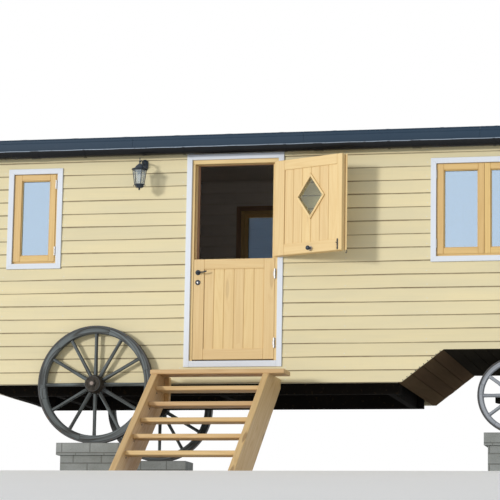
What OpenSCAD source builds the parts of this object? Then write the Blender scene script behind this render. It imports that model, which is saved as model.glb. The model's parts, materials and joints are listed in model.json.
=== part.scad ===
// Shepherds hut on four spoked wheels with a stable door, lantern and steps.
// Millimetres, X along the hut, Y to the back, Z up.
// The origin is the middle of the foot of the bounding box.

/* [Body] */
// length of the body over the end walls
body_length = 6840; // [6400:20:7600]
// width of the body over the long walls
body_width = 2400; // [2200:10:2600]
// thickness of the long walls and the end walls
wall_thick = 70; // [60:1:90]
// height of the lower edge of the walls above the ground
skirt_height = 1000; // [900:10:1100]
// height of the top of the roof edge above the door frame
head_room = 240; // [200:5:340]
// thickness of the floor deck
floor_thick = 60; // [40:1:80]
// height of the top of the floor above the lower edge of the walls
floor_rise = 210; // [190:1:216]
// depth of the underframe beams below the walls
beam_drop = 76; // [50:2:110]
// distance of the underframe beams from the long walls
beam_inset = 400; // [300:10:600]
// thickness of the underframe beams
beam_thick = 70; // [50:5:90]

/* [Roof] */
// rise of the bowed roof over the half width
roof_rise = 170; // [120:5:260]
// thickness of the roof deck
roof_thick = 45; // [35:1:60]
// overhang of the roof past the long walls
eaves_overhang = 95; // [80:1:130]
// overhang of the roof past the end walls
verge_overhang = 90; // [50:5:160]
// height of the folded metal edge
edge_height = 118; // [100:1:130]
// outer radius of the half round gutter
gutter_radius = 64; // [50:1:70]
// spacing of the gutter brackets
bracket_pitch = 1037; // [600:1:1200]

/* [Door] */
// middle of the doorway along the hut
door_x = -705; // [-800:5:-600]
// width of each door leaf
leaf_width = 826; // [740:2:900]
// thickness of each door leaf
leaf_thick = 44; // [36:1:48]
// height of the lower leaf
lower_leaf_height = 1007; // [900:1:1040]
// height of the upper leaf
upper_leaf_height = 953; // [880:1:980]
// width of the stiles and rails
stile_width = 100; // [80:1:120]
// angle by which the upper leaf stands open
upper_leaf_angle = 156.5; // [120:0.5:160]
// width of the diamond light over its frame
diamond_width = 335; // [240:5:400]
// height of the diamond light over its frame
diamond_height = 460; // [320:5:520]
// width of the white trim round doors and windows
trim_width = 54; // [40:1:80]
// thickness of the white trim
trim_thick = 26; // [20:1:32]

/* [Windows] */
// distance of the single window's middle from the left end
small_window_inset = 632; // [560:1:800]
// width of the single window frame
small_window_width = 468; // [380:2:560]
// distance of the double window's middle from the right end
wide_window_inset = 1633; // [1400:1:1800]
// width of the double window frame
wide_window_width = 945; // [700:5:1200]
// height of all window frames
window_height = 926; // [700:2:1000]
// height of the window frames above the lower edge of the walls
window_rise = 1225; // [1100:1:1300]
// thickness of a glass pane
glass_thick = 6; // [4:1:12]

/* [Wheels] */
// outer radius of the rear wheels
rear_radius = 588; // [520:1:620]
// spokes of a rear wheel
rear_spokes = 12; // [12, 14]
// outer radius of the front wheels
front_radius = 370; // [320:1:400]
// spokes of a front wheel
front_spokes = 10; // [10, 12]
// distance of both axles from the ends of the body
axle_inset = 1336; // [1250:2:1500]
// width of the level top of the wheel arch
arch_width = 1384; // [1200:2:1500]
// width of the wheel arch at the lower edge of the walls
arch_foot_width = 2204; // [2000:2:2300]
// height of the wheel arch
arch_height = 315; // [280:1:360]
// thickness of the boards lining the wheel arch
lining_thick = 28; // [20:1:40]
// height of the rear axle from the lower edge of the walls
rear_axle_rise = -13; // [-40:1:10]
// height of the front axle from the lower edge of the walls
front_axle_rise = -131; // [-160:1:-100]
// width of a rear wheel rim
rear_rim_width = 70; // [50:1:90]
// width of a front wheel rim
front_rim_width = 60; // [45:1:80]
// thickness of the iron tyres
tyre_thick = 16; // [8:1:24]
// length of the slab under a rear wheel
pad_length = 700; // [600:10:800]
// depth of the slabs under the wheels
pad_depth = 340; // [280:5:380]
// thickness of the slabs under the wheels
slab_thick = 120; // [80:5:160]

/* [Steps] */
// width of the steps over the side boards
steps_width = 1170; // [1000:5:1300]
// thickness of the side boards
string_thick = 62; // [40:1:80]
// level depth of a side board
string_depth = 680; // [560:5:800]
// number of treads under the top step
step_count = 5; // [4:1:6]
// level run of the side boards for each unit of rise
string_slope = 1.375; // [1.1:0.005:1.6]
// how far the first tread stands back from the front edges of the side boards
tread_setback = 118; // [100:2:150]
// how much nearer to those edges each lower tread stands
tread_advance = 21; // [0:1:22]
// depth of one tread
tread_depth = 280; // [240:5:320]
// thickness of one tread
tread_thick = 42; // [30:1:60]
// thickness of the top step
platform_thick = 45; // [35:1:60]
// depth of the top step
platform_depth = 290; // [260:5:340]

/* [Hidden] */
$fn = 96;
joint_gap = 0.3;
window_post = 34;
window_sash = 44;
mullion = 42;
rear_beam = 76;
front_beam = 80;
board_gap = 5;
leaf_proud = 4;
board_width = 60;
sill_gap = 14;
leaf_gap = 7;
jamb_face = 25;
head_face = 43;
jamb_proud = 6;
jamb_depth = wall_thick + jamb_proud;
stop_width = 37;
lower_stile = stile_width + 8;
hinge_stile = stile_width + 40;
free_stile = stile_width - 40;
upper_middle = door_x - (hinge_stile - free_stile) / 2;
head_stop = 7;
sill_depth = 40;
edge_lip = 2;
edge_thick = 12;
gutter_drop = 14;
gutter_wall = 4;
corner_width = 95;
spoke_seat = 10;
spoke_radius = 21;
hub_body = 60;
hub_step = 16;
rear_felloe = 64;
front_felloe = 42;
rear_hub = 93;
front_hub = 74;
slab_lip = 35;
cleat_width = 45;
cleat_depth = 70;
cleat_height = 245;
cleat_lap = 5;
platform_lip = 12;
platform_side = 148;
plate_thick = 60;
plate_radius = 330;
bolster_width = 180;
bolster_length = 900;
bracket_wide = 24;
bracket_inset = 132;
verge_drop = 60;
body_half = body_length / 2;
axle_x = body_half - axle_inset;
small_window_x = -body_half + small_window_inset;
wide_window_x = body_half - wide_window_inset;
gutter_out = gutter_radius + 28;
platform_front = 550;
platform_top = 80;
step_foot = 28;
tread_lift = 8;
step_rise = (skirt_height + platform_top - step_foot) / (step_count + 1);
string_lip = 2;
string_top_front = platform_front + string_lip;
string_rise = skirt_height + platform_top - platform_thick;
string_foot = round(string_top_front + string_slope * string_rise);
rear_face = 40;
front_face = -90;
axle_pin = 24;
hub_out = 86;
hub_in = 20;
nut_long = 18;
bore_gap = 0.3;
hub_reach = rear_face + rear_rim_width + hub_out + bore_gap + nut_long;
front_y = (string_foot - body_width - hub_reach) / 2;
back_y = front_y + body_width;
floor_z = skirt_height + floor_rise;
roof_half = body_width / 2 + eaves_overhang;
roof_radius = (roof_half * roof_half + roof_rise * roof_rise) / (2 * roof_rise);
threshold_rise = floor_rise + 11;
door_sill = skirt_height + threshold_rise;
leaf_bottom = door_sill + sill_gap;
lower_leaf_top = leaf_bottom + lower_leaf_height;
upper_leaf_bottom = lower_leaf_top + leaf_gap;
upper_leaf_top = upper_leaf_bottom + upper_leaf_height;
frame_outer = leaf_width / 2 + board_gap + jamb_face;
frame_top = upper_leaf_top + board_gap + head_face;
edge_top = frame_top + head_room;
eaves_z = edge_top - edge_lip - roof_thick;
gutter_z = edge_top - edge_height - gutter_drop;
bow_drop = roof_radius - sqrt(roof_radius * roof_radius - body_width * body_width / 4);
plate_z = eaves_z + roof_rise - bow_drop;
mid_y = front_y + body_width / 2;
corner_top = plate_z - 10;
leaf_face_y = front_y - leaf_proud;
hinge_x = door_x + leaf_width / 2 + 2.5;
hinge_y = front_y - 16;
window_z = skirt_height + window_rise;
arch_top = skirt_height + arch_height;
arch_half_top = arch_width / 2;
arch_half_bottom = arch_foot_width / 2;
rear_z = skirt_height + rear_axle_rise;
front_z = skirt_height + front_axle_rise;
hinge_long = 96;
hinge_pin = 4;
knuckle = 26;
lower_hinge_low = 112;
lower_hinge_high = 206;
upper_hinge_low = 92;
upper_hinge_high = 190;
hinge_heights = [leaf_bottom + lower_hinge_low, lower_leaf_top - lower_hinge_high,
    upper_leaf_bottom + upper_hinge_low, upper_leaf_top - upper_hinge_high];
knuckle_radius = 9;
flap_thick = 6;
leaf_flap = 16;
post_flap = 16;
flap_gap = 2;
pin_end = 4;
lever_x = door_x - leaf_width / 2 + 45;
lever_z = lower_leaf_top - 134;
steps_shift = 96;
steps_x = door_x - steps_shift;
lantern_side = 940;
lantern_x = door_x - lantern_side;
lantern_out = 205;
lantern_z = frame_top - 120;
plate_rise = 21;
plate_half = 35;
plate_body = 47;
back_plate = 14;
lantern_glass_high = 150;
lantern_cup = 36;
cream = [0.86, 0.83, 0.66];
white = [0.94, 0.94, 0.95];
pine = [0.80, 0.50, 0.22];
fresh_pine = [0.82, 0.68, 0.42];
slate = [0.30, 0.36, 0.45];
dark = [0.10, 0.10, 0.11];
brown = [0.26, 0.20, 0.17];
grey_wood = [0.42, 0.46, 0.50];
iron = [0.25, 0.24, 0.24];
stone = [0.62, 0.63, 0.62];
silver = [0.75, 0.75, 0.76];
glass = [0.65, 0.78, 0.85, 0.4];

// a slab standing on a long wall line between two heights
module wall_slab(x0, x1, y, z0, z1) {
    translate([x0, y, z0]) cube([x1 - x0, wall_thick, z1 - z0]);
}

// opening for a window frame in a long wall
module window_cut(x, width, y) {
    translate([x - width / 2, y - 1, window_z]) cube([width, wall_thick + 2, window_height]);
}

// notch in the lower edge of a long wall over the rear axle
module axle_notch(y) {
    translate([-axle_x - rear_beam / 2, y - 1, skirt_height - 1])
        cube([rear_beam, wall_thick + 2, rear_axle_rise + rear_beam / 2 + 1]);
}

// outline of the wheel arch in the XZ plane
module arch_outline(grow) {
    slope = (arch_half_bottom - arch_half_top) / (arch_top - skirt_height);
    side = grow * sqrt(1 + slope * slope);
    polygon([[-arch_half_bottom - side - slope * 1, skirt_height - 1],
        [-arch_half_top - side + slope * grow, arch_top + grow],
        [arch_half_top + side - slope * grow, arch_top + grow],
        [arch_half_bottom + side + slope * 1, skirt_height - 1]]);
}

module arch_cut(y0, y1, grow) {
    translate([axle_x, y1, 0]) rotate([90, 0, 0])
        linear_extrude(y1 - y0) arch_outline(grow);
}

module front_wall_left() {
    color(cream) difference() {
        wall_slab(-body_half, door_x - frame_outer, front_y, skirt_height, plate_z);
        window_cut(small_window_x, small_window_width, front_y);
        axle_notch(front_y);
    }
}

module front_wall_right() {
    color(cream) difference() {
        wall_slab(door_x + frame_outer, body_half, front_y, skirt_height, plate_z);
        window_cut(wide_window_x, wide_window_width, front_y);
        arch_cut(front_y - 1, front_y + wall_thick + 1, lining_thick);
    }
}

module front_wall_over_door() {
    color(cream) wall_slab(door_x - frame_outer, door_x + frame_outer, front_y,
        frame_top, plate_z);
    color(cream) wall_slab(door_x - frame_outer, door_x + frame_outer, front_y,
        skirt_height, door_sill - sill_depth);
}

module back_wall() {
    y = back_y - wall_thick;
    color(cream) difference() {
        wall_slab(-body_half, body_half, y, skirt_height, plate_z);
        window_cut(small_window_x, small_window_width, y);
        window_cut(wide_window_x, wide_window_width, y);
        window_cut(door_x, wide_window_width, y);
        arch_cut(y - 1, back_y + 1, lining_thick);
        axle_notch(y);
    }
}

// outline of an end wall under the bowed roof in the YZ plane
module end_outline() {
    intersection() {
        translate([front_y + wall_thick, skirt_height])
            square([body_width - 2 * wall_thick, edge_top + roof_rise]);
        translate([mid_y, eaves_z + roof_rise - roof_radius])
            circle(roof_radius, $fn = 720);
    }
}

module end_wall(x) {
    color(cream) translate([x, 0, 0]) rotate([90, 0, 90])
        linear_extrude(wall_thick) end_outline();
}

module left_end_wall() {
    end_wall(-body_half);
}

module right_end_wall() {
    end_wall(body_half - wall_thick);
}

module floor() {
    color(brown) difference() {
        translate([-body_half + wall_thick, front_y + wall_thick, floor_z - floor_thick])
            cube([body_length - 2 * wall_thick, body_width - 2 * wall_thick, floor_thick]);
        arch_cut(front_y - 1, back_y + 1, lining_thick);
    }
}

module arch_lining() {
    color(brown) difference() {
        arch_cut(front_y + 2, back_y - 2, lining_thick);
        arch_cut(front_y - 1, back_y + 1, 0);
        translate([axle_x - arch_foot_width, front_y - 1, 0])
            cube([2 * arch_foot_width, body_width + 2, skirt_height]);
    }
}

// bowed band over the whole hut between two radii
module roof_band(inner, outer) {
    intersection() {
        translate([mid_y - roof_half, eaves_z - 2 * verge_drop])
            square([2 * roof_half, roof_rise + 3 * verge_drop + 2 * roof_thick]);
        difference() {
            translate([mid_y, eaves_z + roof_rise - roof_radius])
                circle(roof_radius + outer, $fn = 720);
            translate([mid_y, eaves_z + roof_rise - roof_radius])
                circle(roof_radius + inner, $fn = 720);
        }
    }
}

module roof() {
    color(slate) translate([-body_half - verge_overhang, 0, 0]) rotate([90, 0, 90])
        linear_extrude(body_length + 2 * verge_overhang) roof_band(0, roof_thick);
}

module roof_edge() {
    color(slate) for (side = [-1, 1])
        translate([-body_half - verge_overhang, mid_y + side * (roof_half + edge_thick / 2) - edge_thick / 2,
            edge_top - edge_height])
            cube([body_length + 2 * verge_overhang, edge_thick, edge_height]);
    color(slate) for (side = [-1, 1])
        translate([side * (body_half + verge_overhang + edge_thick / 2) - edge_thick / 2, 0, 0])
            rotate([90, 0, 90]) linear_extrude(edge_thick)
                roof_band(-verge_drop, roof_thick);
}

module gutter_line(side) {
    y = mid_y + side * (body_width / 2 + gutter_out);
    length = body_length + 2 * verge_overhang - 40;
    translate([-length / 2, y, gutter_z]) rotate([90, 0, 90]) {
        linear_extrude(length) difference() {
            circle(gutter_radius);
            circle(gutter_radius - gutter_wall);
            translate([-2 * gutter_radius, 0]) square([4 * gutter_radius, 2 * gutter_radius]);
        }
        for (x = [0, length - gutter_wall]) translate([0, 0, x]) linear_extrude(gutter_wall)
            difference() {
                circle(gutter_radius - gutter_wall / 2);
                translate([-2 * gutter_radius, 0])
                    square([4 * gutter_radius, 2 * gutter_radius]);
            }
    }
    count = floor((body_length - 2 * bracket_inset) / bracket_pitch);
    for (k = [0 : count])
        translate([-body_half + bracket_inset + k * bracket_pitch - bracket_wide / 2, y, gutter_z])
            rotate([90, 0, 90]) linear_extrude(bracket_wide) {
                difference() {
                    circle(gutter_radius + gutter_wall);
                    circle(gutter_radius - gutter_wall / 2);
                    translate([-2 * gutter_radius, 0])
                        square([4 * gutter_radius, 2 * gutter_radius]);
                }
                translate([side > 0 ? -gutter_out : gutter_radius - gutter_wall / 2,
                    -bracket_wide])
                    square([gutter_out - gutter_radius + gutter_wall / 2, bracket_wide]);
            }
}

module gutters() {
    color(dark) for (side = [-1, 1]) gutter_line(side);
}

module corner_boards() {
    w = corner_width;
    color(white) for (sx = [-1, 1], sy = [-1, 1])
        difference() {
            translate([sx * (body_half - w / 2 + trim_thick / 2) - (w + trim_thick) / 2,
                mid_y + sy * (body_width / 2 - w / 2 + trim_thick / 2) - (w + trim_thick) / 2,
                skirt_height])
                cube([w + trim_thick, w + trim_thick, corner_top - skirt_height]);
            translate([-body_half, front_y, skirt_height - 1])
                cube([body_length, body_width, corner_top]);
        }
}

module door_frame() {
    color(pine) difference() {
        translate([door_x - frame_outer, front_y - jamb_proud, door_sill - sill_depth])
            cube([2 * frame_outer, jamb_depth, frame_top - door_sill + sill_depth]);
        translate([door_x - leaf_width / 2 - board_gap, front_y - jamb_proud - 1, door_sill])
            cube([leaf_width + 2 * board_gap,
                leaf_face_y + leaf_thick + board_gap - front_y + jamb_proud + 1,
                upper_leaf_top + board_gap - door_sill]);
        translate([door_x - leaf_width / 2 + stop_width, front_y - jamb_proud - 1, door_sill])
            cube([leaf_width - 2 * stop_width, jamb_depth + 2,
                upper_leaf_top - head_stop - door_sill]);
        translate([door_x - frame_outer - 1, front_y - jamb_proud - 1,
            door_sill - sill_depth - 1])
            cube([2 * frame_outer + 2, jamb_proud + 1, sill_depth + 1]);
    }
}

module door_trim() {
    low = door_sill - board_width;
    outer = frame_outer + trim_width;
    color(white) difference() {
        translate([door_x - outer, front_y - trim_thick, low])
            cube([2 * outer, trim_thick, frame_top + trim_width - low]);
        translate([door_x - frame_outer, front_y - 2 * trim_thick, door_sill])
            cube([2 * frame_outer, 3 * trim_thick, frame_top - door_sill]);
    }
}

// white trim round one window
module trim_ring(x, width, y) {
    color(white) difference() {
        translate([x - width / 2 - trim_width + 2, y, window_z - trim_width + 2])
            cube([width + 2 * trim_width - 4, trim_thick, window_height + 2 * trim_width - 4]);
        translate([x - width / 2 + 2, y - 1, window_z + 2])
            cube([width - 4, trim_thick + 2, window_height - 4]);
    }
}

module window_trims() {
    trim_ring(small_window_x, small_window_width, front_y - trim_thick);
    trim_ring(wide_window_x, wide_window_width, front_y - trim_thick);
    trim_ring(small_window_x, small_window_width, back_y);
    trim_ring(wide_window_x, wide_window_width, back_y);
    trim_ring(door_x, wide_window_width, back_y);
}

// timber frame and casements of one window whose outside faces -Y
module window_solid(width, casements) {
    inner = width - 2 * window_post;
    leaf = (inner - (casements - 1) * mullion) / casements;
    difference() {
        translate([-width / 2, 0, 0]) cube([width, wall_thick, window_height]);
        for (k = [0 : casements - 1])
            translate([-inner / 2 + k * (leaf + mullion), -1, window_post])
                cube([leaf, wall_thick + 2, window_height - 2 * window_post]);
    }
    for (k = [0 : casements - 1])
        difference() {
            translate([-inner / 2 + k * (leaf + mullion), 6, window_post])
                cube([leaf, 44, window_height - 2 * window_post]);
            translate([-inner / 2 + k * (leaf + mullion) + window_sash, 5,
                window_post + window_sash])
                cube([leaf - 2 * window_sash, 46,
                    window_height - 2 * window_post - 2 * window_sash]);
        }
}

module front_window(x, width, casements) {
    translate([x, front_y, window_z]) window_solid(width, casements);
}

module back_window(x, width, casements) {
    translate([x, back_y, window_z]) mirror([0, 1, 0]) window_solid(width, casements);
}

module left_window() {
    color(pine) front_window(small_window_x, small_window_width, 1);
}

module right_window() {
    color(pine) front_window(wide_window_x, wide_window_width, 2);
}

module back_windows() {
    color(pine) {
        back_window(small_window_x, small_window_width, 1);
        back_window(wide_window_x, wide_window_width, 2);
        back_window(door_x, wide_window_width, 2);
    }
}

// panes of one window standing in its sashes
module panes(x, width, y, casements) {
    inner = width - 2 * window_post;
    leaf = (inner - (casements - 1) * mullion) / casements;
    edge = window_post + window_sash;
    for (k = [0 : casements - 1])
        translate([x - inner / 2 + k * (leaf + mullion) + window_sash, y, window_z + edge])
            cube([leaf - 2 * window_sash, glass_thick, window_height - 2 * edge]);
}

module window_glass() {
    color(glass) {
        panes(small_window_x, small_window_width, front_y + 26, 1);
        panes(wide_window_x, wide_window_width, front_y + 26, 2);
        panes(small_window_x, small_window_width, back_y - 26 - glass_thick, 1);
        panes(wide_window_x, wide_window_width, back_y - 26 - glass_thick, 2);
        panes(door_x, wide_window_width, back_y - 26 - glass_thick, 2);
    }
}

module lantern_bracket() {
    color(dark) {
        for (z = [plate_half, plate_half + plate_body])
            translate([lantern_x, front_y, lantern_z + plate_rise + z])
                rotate([90, 0, 0]) cylinder(back_plate, plate_half, plate_half);
        translate([lantern_x - plate_half, front_y - back_plate,
            lantern_z + plate_rise + plate_half])
            cube([2 * plate_half, back_plate, plate_body]);
    }
}

// half of the bell shaped cap, to be turned round the lantern's axis
module lantern_cap_outline() {
    polygon([[0, 0], [82, 0], [82, 6], [68, 12], [58, 28], [48, 48], [32, 66], [12, 78], [0, 80]]);
}

module lantern_frame() {
    y = front_y - lantern_out;
    color(dark) translate([lantern_x, y, lantern_z]) {
        rotate_extrude($fn = 48) lantern_cap_outline();
        translate([0, 0, 76]) cylinder(46, 7, 4);
        translate([0, 0, 92]) sphere(10);
        translate([-7, 0, 70]) cube([14, lantern_out - back_plate, 14]);
        translate([0, 0, -50]) cylinder(50, 13, 13);
        translate([0, 0, -lantern_glass_high - lantern_cup])
            cylinder(lantern_cup, 34, 50, $fn = 6);
        translate([0, 0, -lantern_glass_high - lantern_cup - 24]) cylinder(24, 7, 10);
    }
}

module lantern_glass() {
    y = front_y - lantern_out;
    color(glass) translate([lantern_x, y, lantern_z - lantern_glass_high]) difference() {
        cylinder(lantern_glass_high, 48, 70, $fn = 6);
        translate([0, 0, -1]) cylinder(lantern_glass_high + 2, 43, 65, $fn = 6);
    }
}

module lantern_bulb() {
    y = front_y - lantern_out;
    color(white) translate([lantern_x, y, lantern_z - 120]) cylinder(70, 18, 18);
}

// side outline of a chassis beam with a tapered tail, in the XZ plane
module beam_outline() {
    x0 = -body_half + wall_thick + 35;
    x1 = axle_x - arch_half_bottom - beam_thick;
    top = floor_z - floor_thick;
    polygon([[x0, top], [x0, skirt_height - beam_drop / 4],
        [x0 + 2 * beam_drop, skirt_height - beam_drop],
        [x1, skirt_height - beam_drop], [x1, top]]);
}

module chassis_beams() {
    color(dark) for (y = [front_y + beam_inset, back_y - beam_inset - beam_thick])
        difference() {
            translate([0, y + beam_thick, 0]) rotate([90, 0, 0])
                linear_extrude(beam_thick) beam_outline();
            translate([-axle_x - rear_beam / 2, y - 1, rear_z - rear_beam / 2])
                cube([rear_beam, beam_thick + 2, rear_beam]);
        }
    first = -axle_x - rear_radius;
    last = axle_x - arch_half_bottom - 3 * beam_thick;
    color(dark) for (k = [0 : 2])
        cross_member(first + k * (last - first) / 2);
    color(dark) cross_member(-body_half + wall_thick + 35 + 2 * beam_drop);
}

// timber between the two chassis beams, from their lower edges to the floor deck
module cross_member(x) {
    low = skirt_height - beam_drop;
    translate([x, front_y + beam_inset + beam_thick, low])
        cube([beam_thick, body_width - 2 * beam_inset - 2 * beam_thick,
            floor_z - floor_thick - low]);
}

// a straight axle with a round pin and a nut at each end
module axle(x, z, face, rim, beam) {
    half = body_width / 2 + face - hub_in - 6;
    nut = body_width / 2 + face + rim + hub_out + bore_gap;
    translate([x - beam / 2, mid_y - half, z - beam / 2]) cube([beam, 2 * half, beam]);
    for (side = [-1, 1]) translate([x, mid_y, z]) rotate([side * 90, 0, 0]) {
        cylinder(nut + nut_long, axle_pin, axle_pin);
        translate([0, 0, nut]) cylinder(nut_long, 34, 34, $fn = 6);
    }
}

module rear_axle() {
    color(dark) axle(-axle_x, rear_z, rear_face, rear_rim_width, rear_beam);
}

module front_axle() {
    color(dark) axle(axle_x, front_z, front_face, front_rim_width, front_beam);
}

// turning plate and cross block between the front axle and the arch lining
module turntable() {
    z = front_z + front_beam / 2;
    color(dark) translate([axle_x, mid_y, z]) cylinder(plate_thick, plate_radius, plate_radius);
}

module bolster() {
    z = front_z + front_beam / 2 + plate_thick;
    color(dark) translate([axle_x - bolster_width / 2, mid_y - bolster_length / 2, z])
        cube([bolster_width, bolster_length, arch_top - z]);
}

// slab on a block pier under one wheel
module pad(x, y, w, d, top) {
    translate([x - w / 2, y - d / 2, top - slab_thick]) cube([w, d, slab_thick]);
    translate([x - w / 2 + slab_lip, y - d / 2 + slab_lip, 0])
        cube([w - 2 * slab_lip, d - 2 * slab_lip, top - slab_thick]);
}

module wheel_pads() {
    rear_y = body_width / 2 + hub_reach - pad_depth / 2 - 8;
    front_pad_y = body_width / 2 + front_face + front_rim_width / 2;
    color(stone) for (side = [-1, 1]) {
        pad(-axle_x, mid_y + side * rear_y, pad_length, pad_depth,
            rear_z - rear_radius - joint_gap);
        pad(axle_x, mid_y + side * front_pad_y, pad_length - 120, pad_depth,
            front_z - front_radius - joint_gap);
    }
}

// outline of one side board of the steps in the YZ plane, seen from the wall line
module string_outline() {
    under = platform_top - platform_thick;
    back = string_depth;
    polygon([[-string_foot, -skirt_height],
        [-string_foot + back, -skirt_height],
        [0, -skirt_height + (string_foot - back) / string_slope],
        [0, under], [-string_top_front, under]]);
}

module step_strings() {
    color(fresh_pine) for (x = [steps_x - steps_width / 2,
            steps_x + steps_width / 2 - string_thick])
        translate([x, front_y, skirt_height]) rotate([90, 0, 90])
            linear_extrude(string_thick) string_outline();
}

// short uprights screwed inside the side boards, under the back edge of the top step
module step_cleats() {
    color(fresh_pine) for (x = [steps_x - steps_width / 2 + string_thick,
            steps_x + steps_width / 2 - string_thick - cleat_width])
        translate([x, front_y - platform_front + platform_depth - cleat_lap,
            skirt_height + platform_top - platform_thick - cleat_height])
            cube([cleat_width, cleat_depth, cleat_height]);
}

// one tread between the side boards, its top a given drop under the top step's top
module tread(drop, setback) {
    edge = string_top_front + string_slope * (drop - platform_thick);
    translate([steps_x - steps_width / 2 + string_thick, front_y - edge + setback,
        skirt_height + platform_top - drop - tread_thick])
        cube([steps_width - 2 * string_thick, tread_depth, tread_thick]);
}

module step_treads() {
    color(fresh_pine) for (k = [1 : step_count])
        tread(step_rise * k - tread_lift, tread_setback - tread_advance * (k - 1));
}

module top_step() {
    color(fresh_pine) translate([steps_x - steps_width / 2 - platform_lip, front_y - platform_front,
            skirt_height + platform_top - platform_thick])
        cube([steps_width + platform_lip + platform_side, platform_depth, platform_thick]);
}

// framed leaf with a hole for its boards, the hinge side at the right
module leaf_frame(z0, height, left, right) {
    x0 = door_x - leaf_width / 2;
    difference() {
        translate([x0, leaf_face_y, z0]) cube([leaf_width, leaf_thick, height]);
        translate([x0 + left, leaf_face_y - 1, z0 + stile_width + 8])
            cube([leaf_width - left - right, leaf_thick + 2, height - 2 * stile_width - 8]);
    }
}

module leaf_boards(z0, height, left, right) {
    translate([door_x - leaf_width / 2 + left, leaf_face_y + 10, z0 + stile_width + 8])
        cube([leaf_width - left - right, leaf_thick - 20, height - 2 * stile_width - 8]);
}

// moving knuckle of a hinge on the pivot line, with its flap on the leaf
module hinge_barrel(z) {
    difference() {
        union() {
            translate([hinge_x, hinge_y, z + knuckle])
                cylinder(hinge_long - 2 * knuckle, knuckle_radius, knuckle_radius);
            translate([hinge_x - leaf_flap, leaf_face_y - flap_thick, z + knuckle])
                cube([leaf_flap - flap_gap - 1, flap_thick, hinge_long - 2 * knuckle]);
        }
        translate([hinge_x, hinge_y, z]) cylinder(hinge_long, hinge_pin + bore_gap,
            hinge_pin + bore_gap);
    }
}

// fixed knuckles, pin and flap of a hinge on the door frame
module hinge_post(z) {
    translate([hinge_x, hinge_y, z - pin_end])
        cylinder(hinge_long + 2 * pin_end, hinge_pin, hinge_pin);
    for (end = [0, 1])
        translate([hinge_x, hinge_y, z + end * (hinge_long - knuckle + bore_gap)])
            cylinder(knuckle - bore_gap, knuckle_radius, knuckle_radius);
    for (end = [0, 1])
        translate([hinge_x - flap_gap, front_y - jamb_proud - flap_thick,
            z + end * (hinge_long - knuckle + bore_gap)])
            cube([post_flap, flap_thick, knuckle - bore_gap]);
}

module door_hinges() {
    color(silver) for (z = hinge_heights) hinge_post(z);
}

module lower_leaf_frame() {
    color(pine) leaf_frame(leaf_bottom, lower_leaf_height, lower_stile, lower_stile);
}

module lower_leaf_boards() {
    color(pine) leaf_boards(leaf_bottom, lower_leaf_height, lower_stile, lower_stile);
}

module lower_leaf_hinges() {
    color(silver) for (k = [0, 1]) hinge_barrel(hinge_heights[k]);
}

module lower_leaf_roses() {
    color(dark) for (z = [lever_z, lever_z - 100])
        translate([lever_x, leaf_face_y, z]) rotate([90, 0, 0]) cylinder(8, 26, 26);
}

module lever_handle() {
    x = lever_x;
    z = lever_z;
    color(dark) {
        translate([x, leaf_face_y - 8 - joint_gap, z]) rotate([90, 0, 0]) cylinder(42, 11, 11);
        translate([x - 9, leaf_face_y - 52, z - 9]) cube([110, 14, 18]);
    }
}

// everything of the upper leaf is built shut and swung open here
module swung() {
    translate([hinge_x, hinge_y, 0]) rotate([0, 0, upper_leaf_angle])
        translate([-hinge_x, -hinge_y, 0]) children();
}

diamond_drop = 390;
diamond_side = 48;
diamond_top = 66;
diamond_z = upper_leaf_top - diamond_drop;

module diamond(width, height, y0, y1) {
    translate([upper_middle, y1, diamond_z]) rotate([90, 0, 0])
        linear_extrude(y1 - y0)
            polygon([[-width / 2, 0], [0, -height / 2], [width / 2, 0], [0, height / 2]]);
}

module upper_leaf_frame() {
    color(pine) swung() {
        leaf_frame(upper_leaf_bottom, upper_leaf_height, free_stile, hinge_stile);
        difference() {
            diamond(diamond_width, diamond_height, leaf_face_y - 6, leaf_face_y + leaf_thick + 6);
            diamond(diamond_width - diamond_side, diamond_height - diamond_top, leaf_face_y - 7,
                leaf_face_y + leaf_thick + 7);
        }
    }
}

module upper_leaf_boards() {
    color(pine) swung() difference() {
        leaf_boards(upper_leaf_bottom, upper_leaf_height, free_stile, hinge_stile);
        diamond(diamond_width, diamond_height, leaf_face_y - 7, leaf_face_y + leaf_thick + 7);
    }
}

module upper_leaf_glass() {
    color(glass) swung() diamond(diamond_width - diamond_side, diamond_height - diamond_top,
        leaf_face_y + 19, leaf_face_y + 25);
}

module upper_leaf_hinges() {
    color(silver) swung() for (k = [2, 3]) hinge_barrel(hinge_heights[k]);
}

module upper_leaf_knob() {
    y = leaf_face_y + leaf_thick;
    color(dark) swung() translate([upper_middle - 5, y, upper_leaf_bottom + 42])
        rotate([-90, 0, 0]) {
            cylinder(6, 24, 24);
            cylinder(40, 9, 9);
            translate([0, 0, 30]) cylinder(22, 22, 22);
        }
}

// wooden part of one spoked wheel, its middle at the origin and the outside at -Y
module wheel_wood(radius, rim, spokes, felloe, hub) {
    outer = radius - tyre_thick;
    rotate([90, 0, 0]) {
        difference() {
            union() {
                difference() {
                    translate([0, 0, -rim / 2]) cylinder(rim, outer, outer);
                    translate([0, 0, -rim / 2 - 1]) cylinder(rim + 2, outer - felloe, outer - felloe);
                }
                for (k = [0 : spokes - 1]) rotate([0, 0, k * 360 / spokes])
                    translate([hub - spoke_seat, 0, 0]) rotate([0, 90, 0])
                        cylinder(outer - felloe - hub + 2 * spoke_seat, spoke_radius,
                            spoke_radius, $fn = 32);
                translate([0, 0, -rim / 2 - hub_in]) cylinder(rim + hub_in + hub_body, hub, hub);
                translate([0, 0, rim / 2 + hub_body])
                    cylinder(hub_out - hub_body, hub - hub_step, hub - hub_step);
            }
            translate([0, 0, -rim / 2 - hub_in - 1])
                cylinder(rim + hub_in + hub_out + 2, axle_pin + bore_gap, axle_pin + bore_gap);
        }
    }
}

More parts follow.
